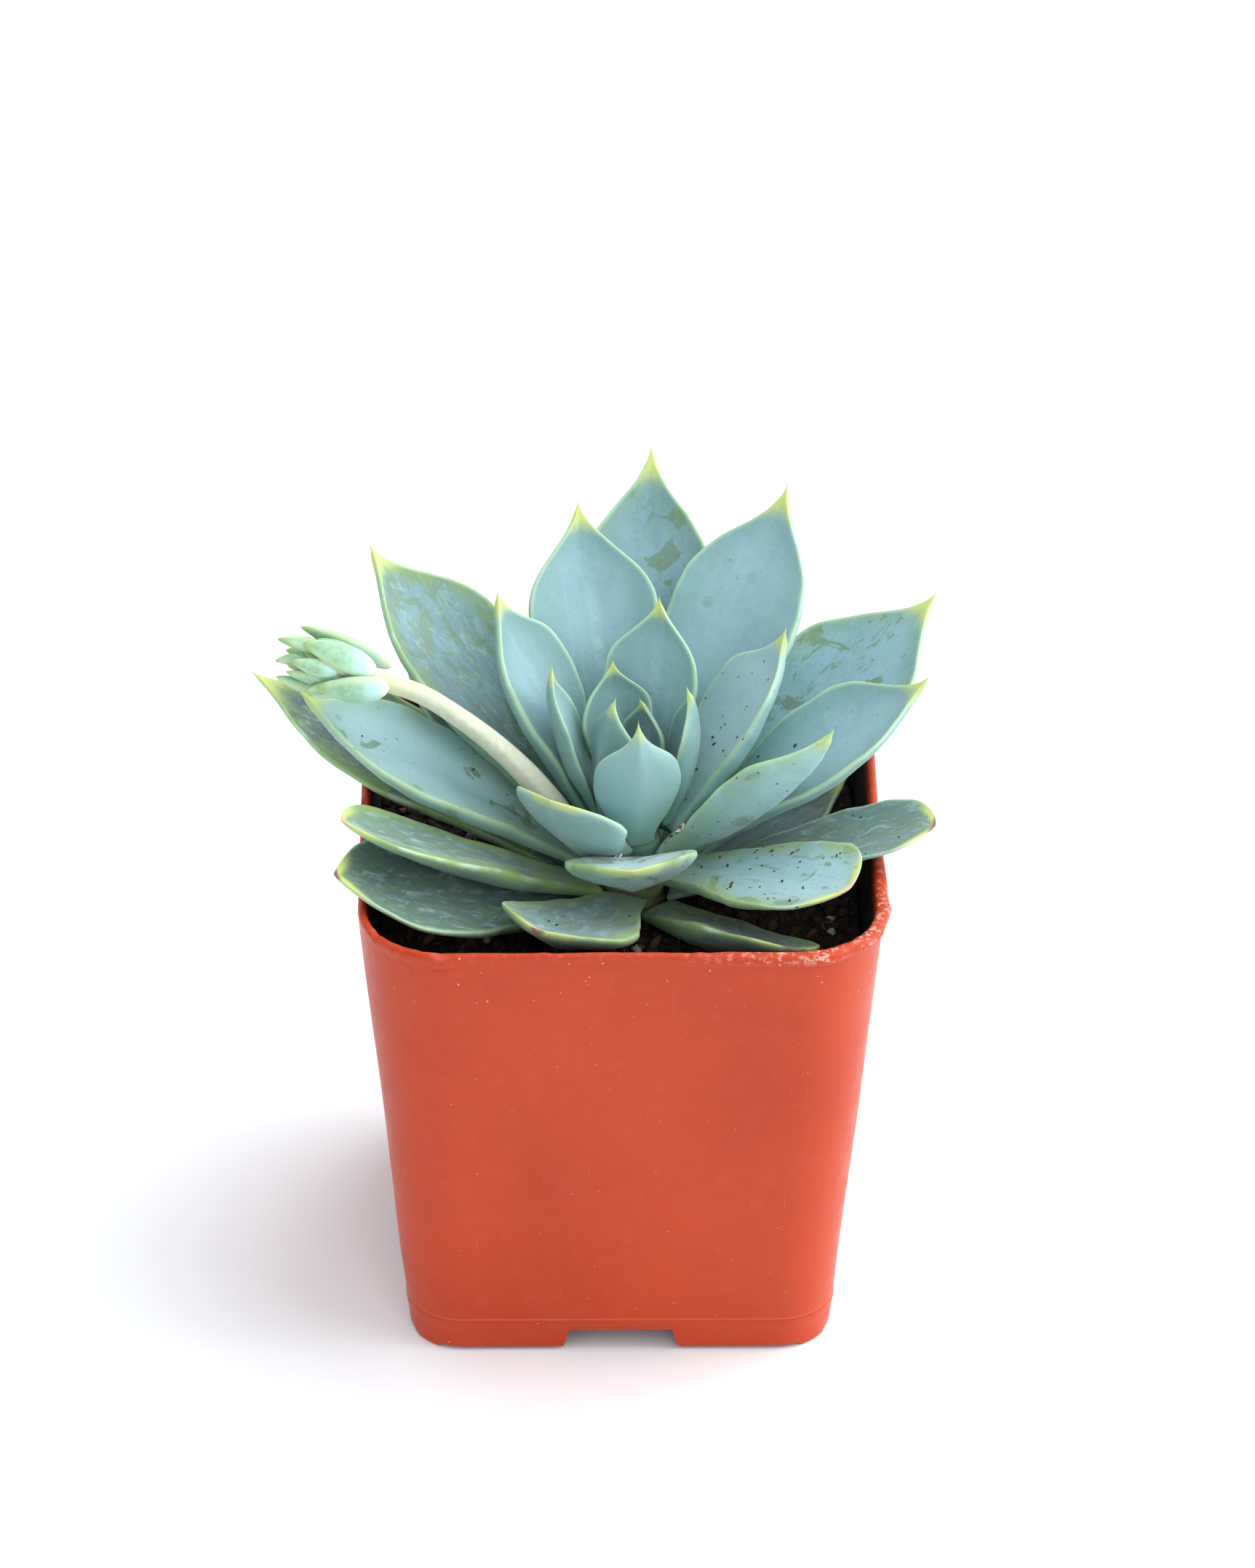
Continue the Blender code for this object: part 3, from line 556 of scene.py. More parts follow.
def make_leaf(name, row, number, material):
    length, width, roll, thick, shape = row[3], row[4], row[6], row[8], row[9]
    looks = dict(zip(LEAF_LOOKS, row[10:]))
    path = leaf_path(row)
    seed = Vector((31.7 * number, 5.3 * number, -11.9 * number))
    loops = []
    floats = {key: [] for key in ("edge", "along", "under", "across", *looks)}
    blades = []

    def note(edge, t, under, across):
        for key, value in dict(looks, edge=edge, along=t, under=under, across=across).items():
            floats[key].append(value)
        blades.append((across + 41.0 * number, t * length, 17.0 * number))

    for i in range(LEAF_STEPS + 1):
        t = 1.0 - (1.0 - i / LEAF_STEPS) ** 1.5
        k = min(int(t * PATH_STEPS), PATH_STEPS - 1)
        part = t * PATH_STEPS - k
        here = path[k][0].lerp(path[k + 1][0], part)
        along = path[k][1].lerp(path[k + 1][1], part).normalized()
        turn = path[k][2] + (path[k + 1][2] - path[k][2]) * part
        side = Vector((-math.sin(turn), math.cos(turn), 0.0))
        side = (side - along * side.dot(along)).normalized()
        up = along.cross(side)
        tilt = math.radians(roll) * min(t / 0.5, 1.0)
        side, up = (
            side * math.cos(tilt) + up * math.sin(tilt),
            up * math.cos(tilt) - side * math.sin(tilt),
        )
        if shape[2] > DRAWN_OUT:
            here = here + (up * 0.8 + along) * (TIP_FLICK * max((t - 0.82) / 0.18, 0.0) ** 2)
        if i == LEAF_STEPS:
            loops.append([here])
            note(0.0, 1.0, 0.0, 0.0)
            continue
        half = 0.5 * width * blade(t, shape)
        bow = math.radians(shape[3]) * min(t / 0.3, 1.0) + 1e-4
        deep = thick * (0.6 + 0.4 * math.sin(math.pi * min(t / 0.8, 1.0) ** 0.9)) * (1.0 - t**6) ** 0.5
        deep = min(deep, 1.7 * half)
        ring = []
        for around in angles(LEAF_SIDES):
            s, h = math.cos(around), math.sin(around)
            # A soft groove down the middle above, a soft keel below, and fuller margins.
            full = math.copysign(abs(h) ** 0.8, h)
            groove = math.exp(-((s / 0.16) ** 2)) * smooth(0.05, 0.3, t) * smooth(1.0, 0.75, t)
            off = deep * full * (0.22 if h > 0 else 0.78)
            off -= groove * (0.16 if h > 0 else 0.45)
            wobble = 0.0
            if 0.02 < t < 0.97:
                spot = Vector((s * half, t * length, full)) * 0.16 + seed
                wobble = 0.50 * noise.noise(spot) + 0.12 * noise.noise(spot * 3.7)
                wobble *= smooth(0.02, 0.25, t) * smooth(1.0, 0.8, t)
            edge_wobble = 0.30 * noise.noise(Vector((t * length * 0.35, math.copysign(3.0, s), 0.0)) + seed)
            reach = half + edge_wobble * smooth(0.1, 0.3, t) * smooth(0.97, 0.8, t)
            x = reach / bow * math.sin(bow * s) - off * math.sin(bow * s)
            y = reach / bow * (1.0 - math.cos(bow * s)) + off * math.cos(bow * s) + wobble * 0.5
            ring.append(here + side * x + up * y)
            if h > 0.05 and abs(s) < 0.85 and 0.06 < t < 0.9:
                GRIT_PLACES.setdefault(name, []).append((ring[-1], up))
            down = deep * abs(full) * (0.22 if h > 0 else 0.78)
            from_margin = math.hypot(half * (1.0 - abs(s)), down)
            note(from_margin, t, smooth(0.0, 0.35, -h), s * half)
        loops.append(ring)
    middle = sum(loops[0], Vector()) / LEAF_SIDES
    loops.insert(0, [middle])
    floats = {key: [values[0]] + values for key, values in floats.items()}
    blades.insert(0, blades[0])
    points, faces = skin(loops)
    made = make_piece(name + "_grown", ground(points), faces, material, floats, {"blade": blades})
    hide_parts(name)
    return made


# ======== flower stalk and bracts
def smooth_path(rows, steps):
    """A smooth curve through rows of place and radius."""
    rows = [Vector(row) for row in rows]
    path = []
    last = len(rows) - 1
    for i in range(last):
        a, b = rows[max(i - 1, 0)], rows[i]
        c, d = rows[i + 1], rows[min(i + 2, last)]
        bend = 2 * a - 5 * b + 4 * c - d
        twist = 3 * b - a - 3 * c + d
        for t in (j / steps for j in range(steps)):
            path.append(b + (c - a + (bend + twist * t) * t) * (0.5 * t))
    return path + [rows[last]]


def make_stalk(material):
    path = smooth_path(STALK, 14)
    centres = [p.xyz for p in path]
    last = len(path) - 1
    loops = [[centres[0]]]
    alongs = [0.0]
    blades = [(0.0, 0.0, 0.0)]
    for i, p in enumerate(path):
        along = (centres[min(i + 1, last)] - centres[max(i - 1, 0)]).normalized()
        side = Vector((0.0, 1.0, 0.0))
        side = (side - along * side.dot(along)).normalized()
        up = along.cross(side)
        t = i / last
        ring = []
        for a in angles(28):
            ribbed = 1.0 + 0.03 * math.cos(5.0 * a + 1.3) + 0.05 * wander(2.0 * t, a, 3.0, 2.4)
            ring.append(centres[i] + (side * math.cos(a) + up * math.sin(a)) * p[3] * ribbed)
            alongs.append(t)
            blades.append((a * 1.5, t * 40.0, 0.0))
        loops.append(ring)
    ahead = (centres[last] - centres[last - 1]).normalized() * path[last][3]
    loops.append([centres[last] + ahead])
    alongs.append(1.0)
    blades.append((0.0, 40.0, 0.0))
    points, faces = skin(loops)
    floats, vectors = {"along": alongs}, {"blade": blades}
    made = make_piece("flower_stalk_grown", ground(points), faces, material, floats, vectors)
    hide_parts("flower_stalk")


BRACT_FULL = 1.14


def make_bract(name, row, number, material, replaced=True):
    foot, tip = Vector(row[0]), Vector(row[1])
    width, thick = row[2], row[3]
    steps, sides = 26, 24
    along = (tip - foot).normalized()
    out = (foot + tip) / 2 - BRACT_AXIS
    out = (out - along * out.dot(along)).normalized()
    side = along.cross(out)
    loops = [[foot]]
    alongs = [0.0]
    edges = [0.5]
    for i in range(1, steps + 1):
        t = i / (steps + 1)
        full = math.sin(math.pi * t**0.8) ** 0.62 * (1.0 - 0.14 * t) * BRACT_FULL
        middle = foot.lerp(tip, t) + out * (0.15 * thick * math.sin(math.pi * t))
        ring = []
        for a in angles(sides):
            c, h = math.cos(a), math.sin(a)
            deep = thick * (0.55 if h > 0 else 0.45)
            keel = 1.0 + 0.10 * math.exp(-((c / 0.3) ** 2)) * (h > 0)
            lump = 1.0 + 0.05 * wander(3.0 * t, a, 7.0 * number)
            x = 0.5 * width * full * c * lump
            ring.append(middle - side * x + out * (deep * full * h * keel * lump))
            alongs.append(t)
            edges.append(0.5 * width * full * (1.0 - abs(c)))
        loops.append(ring)
    loops.append([tip])
    alongs.append(1.0)
    edges.append(0.0)
    points, faces = skin(loops)
    floats = {"along": alongs, "edge": edges}
    made = make_piece(name + "_grown", ground(points), faces, material, floats)
    if replaced:
        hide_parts(name)


def make_buds(material):
    """Closed green buds packed between the bracts, which fill the head of the flower stalk."""
    draw = random.Random(21)
    for number in range(16):
        around = 2.4 * number
        out = 0.4 + 1.9 * (number / 15) ** 0.7
        back = draw.uniform(0.0, 3.0) * number / 15
        y, z = out * math.cos(around), out * math.sin(around)
        foot = Vector((-29.6 + back, -1.2 + 0.4 * y, 29.5 + 0.4 * z))
        reach = 6.4 - 0.10 * number + draw.uniform(-0.5, 0.5) - back * 0.3
        tip = foot + Vector((-reach, 1.25 * y, 1.1 * z + 0.8))
        row = (tuple(foot), tuple(tip), draw.uniform(2.0, 2.7), draw.uniform(1.3, 1.7))
        make_bract(f"flower_bud_{number}", row, 20 + number, material, False)


# ======== stem
def make_stem(material):
    sides, rings = 40, 46
    low = -STEM_BURIED
    loops = [[STEM + UP * low]]
    for i in range(rings):
        z = low + (STEM_TOP - 0.15 - low) * i / (rings - 1)
        ring = []
        for a in angles(sides):
            rough = 0.12 * wander(math.cos(a) * 2.0, math.sin(a) * 2.0, z * 0.9)
            radius = max(stem_radius(z) * (1.0 - 0.03 * math.sin(z * 3.4)) + rough - 0.1, 0.1)
            ring.append(STEM + Vector((radius * math.cos(a), radius * math.sin(a), z)))
        loops.append(ring)
    loops.append([STEM + UP * (STEM_TOP - 0.1)])
    points, faces = skin(loops)
    floats = {"high": [p.z for p in points]}
    made = make_piece("stem_grown", ground(points), faces, material, floats)
    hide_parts("stem")


# ======== pot
def pot_columns():
    """Fractions round the pot's outline, closer together where the notches' sides stand."""
    columns = []
    for quarter in range(4):
        for i in range(22):
            columns.append((quarter, "corner", i / 22))
        marks = [0.0, 0.07, 0.14, 0.20, 0.25, 0.28, 0.295] + [0.301 + 0.0035 * n for n in range(15)]
        marks += [0.36, 0.385, 0.42, 0.46]
        marks = marks + [0.5] + [1.0 - m for m in reversed(marks[1:])]
        for m in marks:
            columns.append((quarter, "side", m))
    return columns


def pot_half(z):
    return (POT_BOTTOM + (POT_TOP - POT_BOTTOM) * z / POT_HEIGHT) / 2.0


def pot_corner(z):
    return BOTTOM_CORNER + (TOP_CORNER - BOTTOM_CORNER) * z / POT_HEIGHT


def outline(column, z, inset):
    """The outline's point and outward direction at a column, at a height, drawn in by an inset."""
    quarter, where, f = column
    half = pot_half(z) - inset
    corner = max(pot_corner(z) - inset, 0.6)
    start = math.radians(90 * quarter)
    mid = start + math.radians(45)
    cx = math.copysign(half - corner, math.cos(mid))
    cy = math.copysign(half - corner, math.sin(mid))
    if where == "corner":
        a = start + math.radians(90) * f
        out = heading(a)
        return Vector((cx, cy, z)) + out * corner, out
    a = start + math.radians(90)
    out = heading(a)
    along = Vector((math.sin(a), -math.cos(a), 0.0))
    return out * half + along * ((half - corner) * (1.0 - 2.0 * f)) + UP * z, out


# The rim's rounds: height, inset, how much painted shade inside, distance from the rim, and then how far
# the flash stands out, how far it hangs and how uneven that is.
RIM_ROWS = (
    (54.85, 0.0, 0.0, None, 0.02, 0.15, 1.0),
    (55.1, 0.0, 0.0, None, 0.42, 0.30, 1.5),
    (55.3, 0.0, 0.0, None, 0.68, 0.28, 1.5),
    (55.6, 0.0, 0.0, 0.5, 0.74, 0.10, 0.5),
    (55.9, 0.02, 0.0, 0.2, 0.66, 0.0, 0.0),
    (56.08, 0.14, 0.0, 0.1, 0.5, 0.0, 0.0),
    (56.18, 0.34, 0.0, 0.0, 0.3, 0.0, 0.0),
    (56.2, 0.5, 0.0, 0.0, 0.12, 0.0, 0.0),
    (56.17, 0.68, 0.1, 0.0, 0.0, 0.0, 0.0),
    (56.05, 0.86, 0.25, 0.1, 0.0, 0.0, 0.0),
    (55.8, WALL - 0.03, 0.5, 0.3, 0.0, 0.0, 0.0),
)
# The inner wall's rounds: height, and how much painted shade.
INNER_ROWS = ((55.3, 0.9), (54.6, 1.3), (53.5, 2.0)) + tuple((z, 3.0) for z in (52, 50, 47, 44, 30, 15, 7))


def make_pot(material):
    columns = pot_columns()

    def bottom(column):
        """Height of the skirt's lower edge at a column: foot, skirt or notch."""
        quarter, where, f = column
        if where == "corner":
            return 0.0 if abs(f - 0.5) < 0.19 else FOOT
        half = pot_half(0.0)
        corner = pot_corner(0.0)
        x = abs((half - corner) * (1.0 - 2.0 * f))
        return FOOT + (NOTCH_TOP - FOOT) * smooth(NOTCH_HALF + 0.42, NOTCH_HALF - 0.42, x)

    lows = [bottom(c) for c in columns]
    loops = []
    floats = {"inside": [], "rim": [], "low": []}
    top = POT_HEIGHT

    def note(in_value, rim_value, low_value):
        for key, value in zip(floats, (in_value, rim_value, low_value)):
            floats[key].append(value)

    def ragged(column, p):
        """How the rim's height wanders, as a thin pressed edge does."""
        spot = Vector((p.x, p.y, 0.0))
        value = 0.16 * noise.noise(spot * 0.22) + 0.10 * noise.noise(spot * 0.9 + Vector((9.0, 0.0, 0.0)))
        nick = noise.noise(spot * 0.55 + Vector((0.0, 4.0, 2.0)))
        return value - 0.45 * smooth(0.42, 0.6, nick)

    def flash(p):
        """Waste plastic standing out round the front right corner, and a little at the front left one."""
        turn = math.degrees(math.atan2(p.y, p.x))
        right = smooth(44.0, 12.0, abs(turn + 45.0))
        left = 0.35 * smooth(12.0, 3.0, abs(turn + 128.0))
        uneven = 0.75 + 0.5 * wander(p.x, p.y, 3.0, 0.35)
        return (right + left) * uneven

    def add(heights, inset=0.0, in_value=0.0, rim_value=None, extra=None):
        loop = []
        for n, column in enumerate(columns):
            z = heights[n] if isinstance(heights, list) else heights
            p, out = outline(column, max(z, 0.0), inset)
            if extra:
                p = p + extra(n, p, out)
            loop.append(p)
            note(in_value, max(top - p.z, 0.0) if rim_value is None else rim_value, max(p.z, 0.0))
        loops.append(loop)

    # Outside, from the middle of the floor's underside out, down inside the skirt, and up the wall.
    loops.append([UP * FLOOR_LOW])
    note(1.2, 50.0, 3.0)
    for inset in (14.0, 6.0, 2.4):
        add(FLOOR_LOW, inset, 1.2)
    add(FLOOR_LOW - 0.25, WALL + 0.35, 0.9)
    skirt = [min(low + 0.7, FLOOR_LOW - 0.4) for low in lows]
    add(skirt, WALL, 0.4)
    for rise, inset in ((0.2, WALL - 0.02), (0.0, WALL - 0.22), (0.0, 0.28), (0.10, 0.08), (0.32, 0.0)):
        add([low + rise for low in lows], inset)
    blend_top = 3.4
    for f in (0.15, 0.3, 0.5, 0.7, 0.85):
        add([low + 0.32 + (blend_top - low - 0.32) * f for low in lows])
    wall_heights = [blend_top, 3.9, 4.15, 4.3, 4.42, 4.55, 4.7, 4.9, 5.5, 6.5, 8.0]
    wall_heights += [float(z) for z in range(10, 52, 2)] + [53.0, 53.8, 54.4]

    def seam(n, p, out):
        """The mould's parting line, a fine step a little above the bottom, and the wall's slow waves."""
        step = 0.09 * (1.0 - smooth(SEAM_HEIGHT - 0.14, SEAM_HEIGHT + 0.14, p.z))
        wave = 0.16 * wander(p.x, p.y, p.z, 0.05) * smooth(3.0, 12.0, p.z)
        return out * (step + wave)

    for z in wall_heights:
        add(z, extra=seam)

    def lip(outward, drop, wide):
        def move(n, p, out):
            strength = flash(p)
            ripple = 0.30 * wander(p.x, p.y, 8.0, 0.5)
            far = out * (outward * strength)
            fall = Vector((0.0, 0.0, -drop * strength * (1.0 + ripple * wide) + ragged(columns[n], p)))
            return far + fall + seam(n, p, out) * smooth(top, top - 3.0, p.z)

        return move

    for z, inset, shade_amount, from_rim, *shape in RIM_ROWS:
        add(z, inset, shade_amount, from_rim, lip(*shape))
    for z, shade_amount in INNER_ROWS:
        add(z, WALL, shade_amount)
    add(FLOOR_HIGH + 0.6, WALL + 0.1, 3.0)
    add(FLOOR_HIGH, WALL + 1.2, 3.0)
    for inset in (6.0, 14.0):
        add(FLOOR_HIGH, inset, 3.0)
    loops.append([UP * FLOOR_HIGH])
    note(3.0, 50.0, 9.0)
    points, faces = skin(loops)
    floats["flash"] = [flash(p) for loop in loops for p in loop]
    made = make_piece("pot_moulded", [p + SHIFT for p in points], faces, material, floats)
    drill_drains(made)
    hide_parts("pot")


def drill_drains(pot):
    """Four round drain holes through the floor, cut once and left in the mesh."""
    points = []
    faces = []
    sides = 28
    for quarter in range(4):
        turn = math.radians(45 + 90 * quarter)
        middle = SHIFT + heading(turn) * DRAIN_PLACE + UP * (FLOOR_LOW - 1.0)
        start = len(points)
        for z in (0.0, 3.0):
            for a in angles(sides):
                points.append(middle + heading(a) * DRAIN_RADIUS + UP * z)
        faces.append(tuple(start + sides - 1 - k for k in range(sides)))
        faces.append(tuple(start + sides + k for k in range(sides)))
        for k in range(sides):
            j = (k + 1) % sides
            faces.append((start + k, start + j, start + sides + j, start + sides + k))
    mesh = bpy.data.meshes.new("drain_cutter")
    mesh.from_pydata([tuple(p * MM) for p in points], [], faces)
    cutter = bpy.data.objects.new("drain_cutter", mesh)
    link(cutter)
    cut = pot.modifiers.new("drains", "BOOLEAN")
    cut.operation = "DIFFERENCE"
    cut.solver = "EXACT"
    cut.object = cutter
    bpy.context.view_layer.update()
    result = bpy.data.meshes.new_from_object(pot.evaluated_get(bpy.context.evaluated_depsgraph_get()))
    pot.modifiers.clear()
    pot.data = result
    pot.data.name = "pot_moulded"
    bpy.data.objects.remove(cutter, do_unlink=True)
    bpy.data.meshes.remove(mesh)


# ======== soil and loose bits
def soil_height(x, y):
    away = math.hypot(x - STEM.x, y - STEM.y)
    lumps = wander(x, y, 0.0, 0.22) + 0.5 * wander(x, y, 5.0, 0.55)
    return SOIL_TOP - 2.6 * math.exp(-((away / 10.0) ** 2)) + 0.7 * lumps


def rough_soil(x, y):
    spot = Vector((x, y, 2.0))
    return soil_height(x, y) + 0.5 * noise.noise(spot * 1.1) + 0.3 * noise.noise(spot * 2.6)


def make_soil(material):
    columns = pot_columns()
    loops = [[UP * (FLOOR_HIGH + 0.3)]]
    for z, gap in ((FLOOR_HIGH + 0.3, 1.6), (FLOOR_HIGH + 1.8, 0.3), (SOIL_TOP - 1.5, 0.05)):
        loops.append([outline(c, z, WALL + gap)[0] for c in columns])
    edge = loops[-1]
    rings = 60
    for i in range(rings):
        f = 0.004 + 0.996 * (i / (rings - 1))
        ring = []
        for p in edge:
            turn = math.atan2(p.y - STEM.y, p.x - STEM.x)
            q = STEM + heading(turn) * (STEM_RADIUS + 0.1)
            x, y = p.x + (q.x - p.x) * f, p.y + (q.y - p.y) * f
            ring.append(Vector((x, y, rough_soil(x, y))))
        loops.append(ring)
    low = SOIL_TOP - STEM_BURIED - 0.3
    loops.append([Vector((p.x, p.y, low)) for p in loops[-1]])
    loops.append([STEM + UP * low])
    points, faces = skin(loops)
    made = make_piece("soil_loose", [p + SHIFT for p in points], faces, material)
    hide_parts("soil")


class Scatter:
    """Many small closed bits gathered in one mesh, each with its own tone."""

    def __init__(self, seed):
        self.draw = random.Random(seed)
        self.points = []
        self.faces = []
        self.tones = []

    def add(self, loops, tone, turned=False):
        """Adds a closed bit. With turned, each face is turned over about its first corner."""
        points, faces = skin(loops)
        if turned:
            faces = [face[:1] + face[:0:-1] for face in faces]
        start = len(self.points)
        self.points += points
        self.faces += [tuple(start + corner for corner in face) for face in faces]
        self.tones += [tone] * len(points)

    def chip(self, centre, size, stretch):
        """An irregular pebble with eight sides and six rings."""
        draw = self.draw
        turn = Vector((draw.gauss(0, 1), draw.gauss(0, 1), draw.gauss(0, 1))).normalized()
        frame_side = turn.orthogonal().normalized()
        frame_up = turn.cross(frame_side)
        tone = draw.random()
        seed = Vector((draw.random(), draw.random(), draw.random())) * 50.0
        sides, rings = 8, 6
        loops = []
        for i in range(rings + 1):
            v = math.pi * i / rings
            ring = []
            for j in range(1 if i in (0, rings) else sides):
                u = 2.0 * math.pi * j / sides
                p = Vector((math.sin(v) * math.cos(u), math.sin(v) * math.sin(u), math.cos(v)))
                p = p * (1.0 + 0.55 * noise.noise(p * 1.6 + seed))
                p = Vector((p.x * stretch[0], p.y * stretch[1], p.z * stretch[2])) * size
                ring.append(centre + frame_side * p.x + frame_up * p.y + turn * p.z)
            loops.append(ring)
        self.add(loops, tone, turned=True)

    def fibre(self, path, radius):
        """A thin closed thread through points."""
        sides = 5
        last = len(path) - 1
        loops = [[path[0]]]
        for i, p in enumerate(path):
            along = (path[min(i + 1, last)] - path[max(i - 1, 0)]).normalized()
            side = along.orthogonal().normalized()
            up = along.cross(side)
            thin = radius * (1.0 - 0.6 * abs(2.0 * i / last - 1.0) ** 3)
            loops.append([p + (side * math.cos(a) + up * math.sin(a)) * thin for a in angles(sides)])
        self.add(loops + [[path[-1]]], self.draw.random())

    def piece(self, name, kind, dark, light):
        """Makes the piece, in a grainy material between two tones."""
        points = [p + SHIFT for p in self.points]
        make_piece(name, points, self.faces, grain_material(kind, dark, light), {"tone": self.tones})


def in_pot(draw, margin):
    while True:
        half = pot_half(SOIL_TOP) - margin
        x, y = draw.uniform(-half, half), draw.uniform(-half, half)
        corner = pot_corner(SOIL_TOP) - margin
        over = Vector((max(abs(x) - (half - corner), 0.0), max(abs(y) - (half - corner), 0.0), 0.0)).length
        if over < corner and math.hypot(x - STEM.x, y - STEM.y) > STEM_RADIUS + 0.8:
            return x, y


def strew(seed, count, margin, pick_size, share, lift, stretch):
    """Chips over the soil, each raised by a share of its size and a lift."""
    bits = Scatter(seed)
    for _ in range(count):
        x, y = in_pot(bits.draw, WALL + margin)
        size = pick_size(bits.draw)
        bits.chip(Vector((x, y, rough_soil(x, y) + size * share + lift)), size, stretch)
    return bits


def make_loose_bits():
    crumb_sizes = (0.28, 0.35, 0.45, 0.6, 0.85)
    crumbs = strew(11, 1500, 0.6, lambda draw: draw.choice(crumb_sizes), 0.25, 0.0, (1.0, 0.8, 0.65))
    crumbs.piece("soil_crumbs", "soil_crumb", (0.010, 0.007, 0.005), (0.075, 0.045, 0.026))
    bark = strew(12, 110, 1.2, lambda draw: draw.uniform(0.5, 1.1), 0.0, 0.3, (1.7, 0.6, 0.35))
    bark.piece("bark_bits", "bark_bit", (0.05, 0.026, 0.013), (0.17, 0.095, 0.045))
    perlite = strew(13, 42, 1.0, lambda draw: draw.uniform(0.3, 0.75), 0.2, 0.0, (1.0, 0.9, 0.8))
    perlite.piece("perlite_grains", "perlite", (0.42, 0.40, 0.36), (0.72, 0.70, 0.66))
    fibres = Scatter(14)
    draw = fibres.draw
    for number in range(150):
        tuft = number < 95
        if tuft:
            x, y = draw.gauss(19.6, 2.0), draw.gauss(-19.6, 2.3)
            limit = pot_half(SOIL_TOP) - 3.0
            x, y = min(x, limit), max(y, -limit)
        else:
            x, y = in_pot(draw, WALL + 2.0)
        heading = draw.uniform(0.0, 2.0 * math.pi)
        curve = draw.uniform(-0.5, 0.5)
        length = draw.uniform(1.6, 4.6) * (1.0 if tuft else 0.8)
        lift = draw.uniform(-0.1, 1.0) if tuft else draw.uniform(0.0, 0.3)
        p = Vector((x, y, rough_soil(x, y) + draw.uniform(0.1, 1.7 if tuft else 0.4)))
        path = [p]
        for i in range(9):
            heading += curve + draw.uniform(-0.25, 0.25)
            step = Vector((math.cos(heading), math.sin(heading), lift * (0.6 - i / 9)))
            path.append(path[-1] + step * (length / 9))
        fibres.fibre(path, draw.uniform(0.05, 0.13))
    for _ in range(26):
        x, y = draw.gauss(19.6, 1.5), draw.gauss(-19.6, 1.7)
        size = draw.uniform(0.4, 0.9)
        fibres.chip(Vector((x, y, rough_soil(x, y) + 0.5)), size, (1.2, 0.8, 0.6))
    fibres.piece("coir_fibres", "coir", (0.09, 0.05, 0.022), (0.30, 0.19, 0.09))


def make_grit():
    """Crumbs of soil and papery white flakes that lie on the leaves at the right."""
    grit = Scatter(15)
    draw = grit.draw
    counts = {"leaf_right_front": 26, "leaf_right_inner": 12, "leaf_right": 9, "leaf_right_blunt": 22}
    counts |= {"leaf_right_low": 8, "leaf_left_long": 6, "leaf_low_front": 4, "leaf_back_inner": 2}
    near_foot = ("leaf_right_front", "leaf_right_inner", "leaf_right")
    for name, count in counts.items():
        places = GRIT_PLACES[name]
        for _ in range(count):
            reach = 0.5 if name in near_foot else 1.0
            point, up = places[int(len(places) * reach * draw.random() ** 1.3)]
            size = draw.uniform(0.08, 0.20)
            grit.chip(point + up * size * 0.3 + UP * SOIL_TOP, size, (1.5, 0.8, 0.6))
    grit.piece("leaf_grit", "leaf_grit", (0.020, 0.012, 0.008), (0.10, 0.05, 0.03))
    flakes = Scatter(16)
    draw = flakes.draw
    for name, count in {"leaf_right_front": 7, "leaf_front_stub": 3, "leaf_heart_right": 3}.items():
        places = GRIT_PLACES[name][: len(GRIT_PLACES[name]) // 4]
        for _ in range(count):
            point, up = draw.choice(places)
            size = draw.uniform(0.2, 0.42)
            flakes.chip(point + up * size * 0.4 + UP * SOIL_TOP, size, (1.3, 0.5, 0.25))
    flakes.piece("leaf_flakes", "leaf_flake", (0.55, 0.58, 0.50), (0.80, 0.82, 0.76))


# ======== build
leaf_skin = leaf_material()
for number, (name, row) in enumerate(LEAVES.items()):
    make_leaf(name, row, number, leaf_skin)
make_stalk(stalk_material())
bract_skin = bract_material()
for number, (name, row) in enumerate(BRACTS.items()):
    make_bract(name, row, number, bract_skin)
make_buds(bract_skin)
make_stem(stem_material())
make_pot(pot_material())
make_soil(soil_material())
make_loose_bits()
make_grit()


# ======== studio
def make_floor():
    side = 1.6
    mesh = bpy.data.meshes.new("floor")
    corners = [(-side, -side, 0.0), (side, -side, 0.0), (side, side, 0.0), (-side, side, 0.0)]
    mesh.from_pydata(corners, [], [(0, 1, 2, 3)])
    floor = bpy.data.objects.new("floor", mesh)
    link(floor)
    s = Shade("floor_paper")
    place = s.place()
    tone = s.noise(place, 0.02, 3.0)
    s.colour = s.mix(tone, (0.875, 0.93, 0.965), (0.895, 0.945, 0.98))
    floor.data.materials.append(s.finish(0.9))


SKY_COLOUR = (0.97, 0.985, 1.0, 1.0)
SKY_STRENGTH = 0.865
LAMPS_AIM = Vector((0.0, 0.0, 0.05))
# Soft round lamps: name, place in metres, width, power and colour.
LAMPS = (
    ("window_right", (0.66, 0.20, 0.85), 1.7, 14.8, (1.0, 0.995, 0.98)),
    ("edge_right", (0.95, -0.05, 0.25), 0.5, 3.8, (1.0, 0.98, 0.97)),
    ("fill_front", (0.15, -0.9, 0.6), 0.8, 1.8, (1.0, 1.0, 1.0)),
)


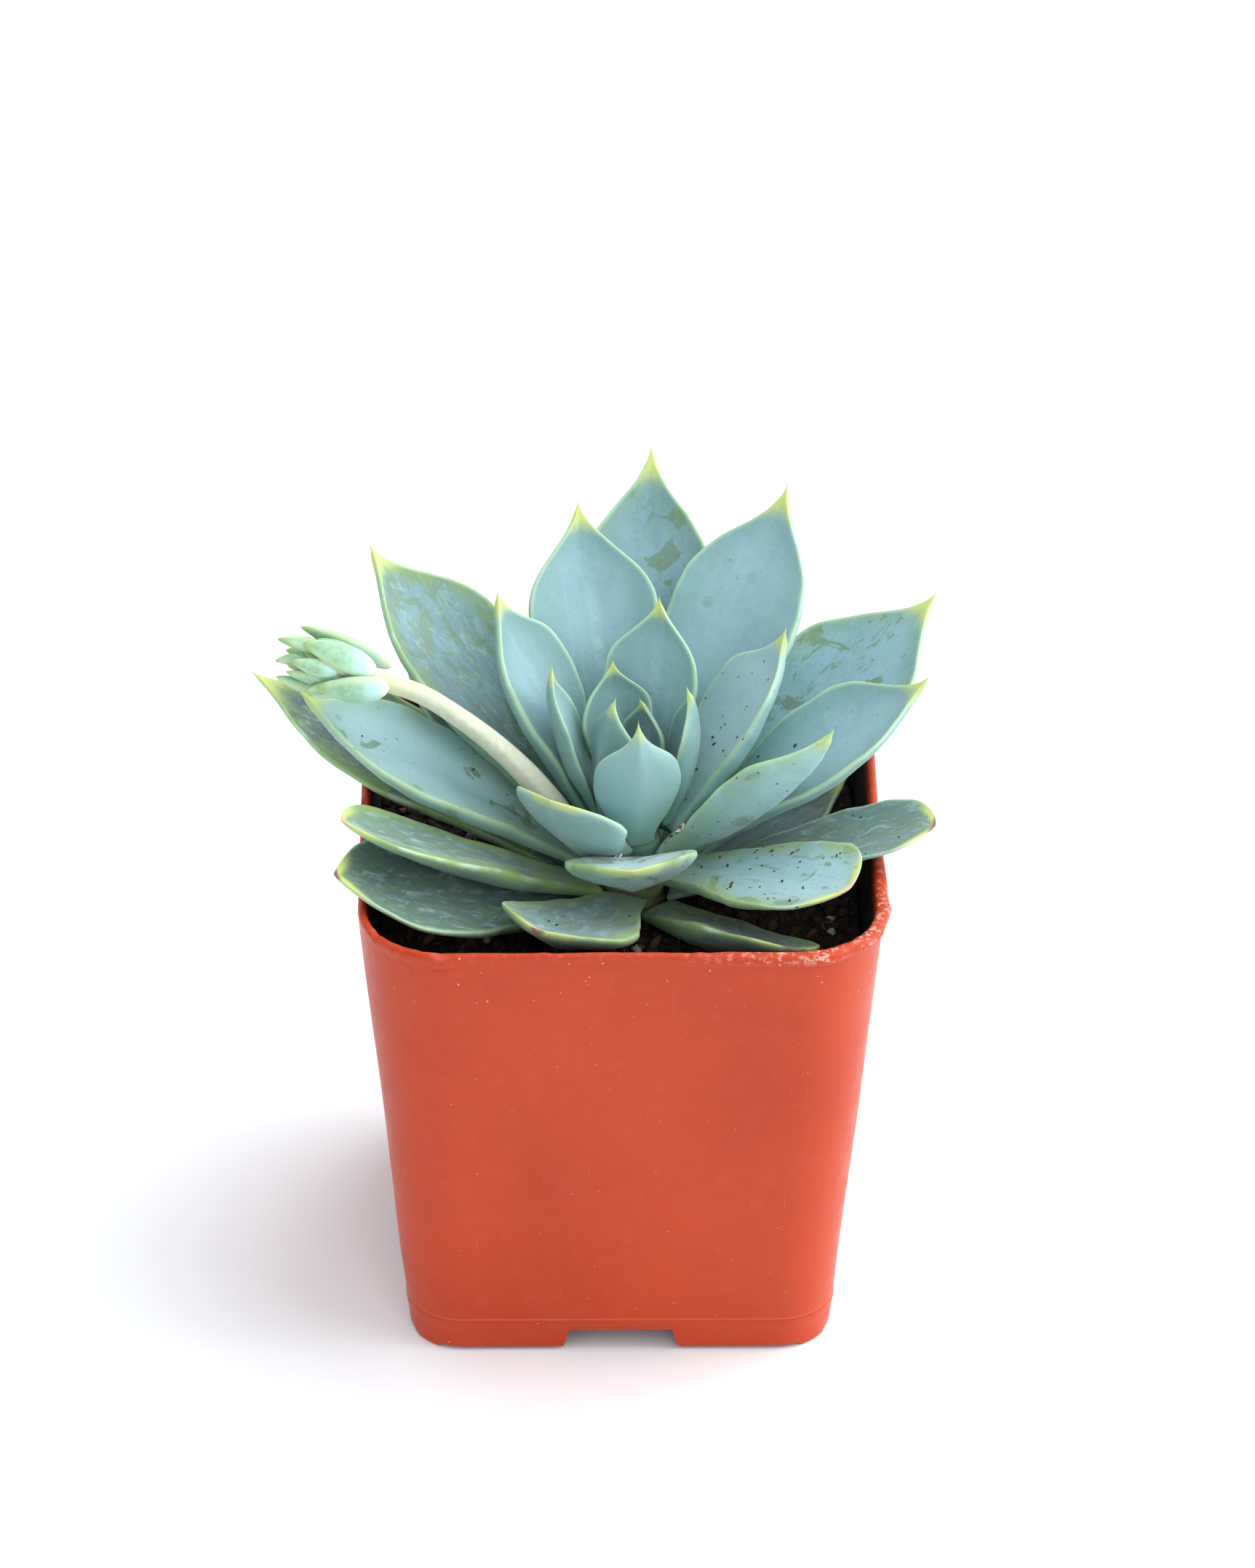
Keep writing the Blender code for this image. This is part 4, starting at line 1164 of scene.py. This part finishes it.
def add_area(name, place, size, power, colour):
    data = bpy.data.lights.new(name, "AREA")
    data.shape = "DISK"
    data.size = size
    data.energy = power
    data.color = colour
    made = bpy.data.objects.new(name, data)
    made.location = place
    made.rotation_mode = "QUATERNION"
    made.rotation_quaternion = (LAMPS_AIM - Vector(place)).to_track_quat("-Z", "Y")
    link(made)


def make_light():
    world = bpy.data.worlds.new("studio_white")
    world.use_nodes = True
    background = world.node_tree.nodes["Background"]
    background.inputs["Color"].default_value = SKY_COLOUR
    background.inputs["Strength"].default_value = SKY_STRENGTH
    bpy.context.scene.world = world
    for lamp in LAMPS:
        add_area(*lamp)


CAMERA_ELEVATION = 32.73
CAMERA_YAW = -0.7
CAMERA_ROLL = 0.21
CAMERA_TARGET = Vector((0.84, 0.0, 59.76))
CAMERA_DISTANCE = 912.0
CAMERA_LENS = 190.97


def make_camera():
    """The calibrated view: from the front, nearly 33 degrees above the table, through a long lens."""
    elevation, yaw, roll = (math.radians(a) for a in (CAMERA_ELEVATION, CAMERA_YAW, CAMERA_ROLL))
    level = math.cos(elevation)
    back = Vector((math.sin(yaw) * level, -math.cos(yaw) * level, math.sin(elevation)))
    data = bpy.data.cameras.new("camera")
    data.sensor_width = 36.0
    data.sensor_fit = "AUTO"
    data.lens = CAMERA_LENS
    data.clip_start = 0.05
    data.clip_end = 20.0
    camera = bpy.data.objects.new("camera", data)
    right = (-back).cross(UP).normalized()
    up = right.cross(-back)
    turned_right = right * math.cos(roll) + up * math.sin(roll)
    turned_up = up * math.cos(roll) - right * math.sin(roll)
    place = (CAMERA_TARGET + SHIFT + back * CAMERA_DISTANCE) * MM
    camera.matrix_world = (
        (turned_right.x, turned_right.y, turned_right.z, 0.0),
        (turned_up.x, turned_up.y, turned_up.z, 0.0),
        (back.x, back.y, back.z, 0.0),
        (place.x, place.y, place.z, 1.0),
    )
    link(camera)
    bpy.context.scene.camera = camera


make_floor()
make_light()
make_camera()
bpy.context.scene.view_settings.view_transform = "Standard"
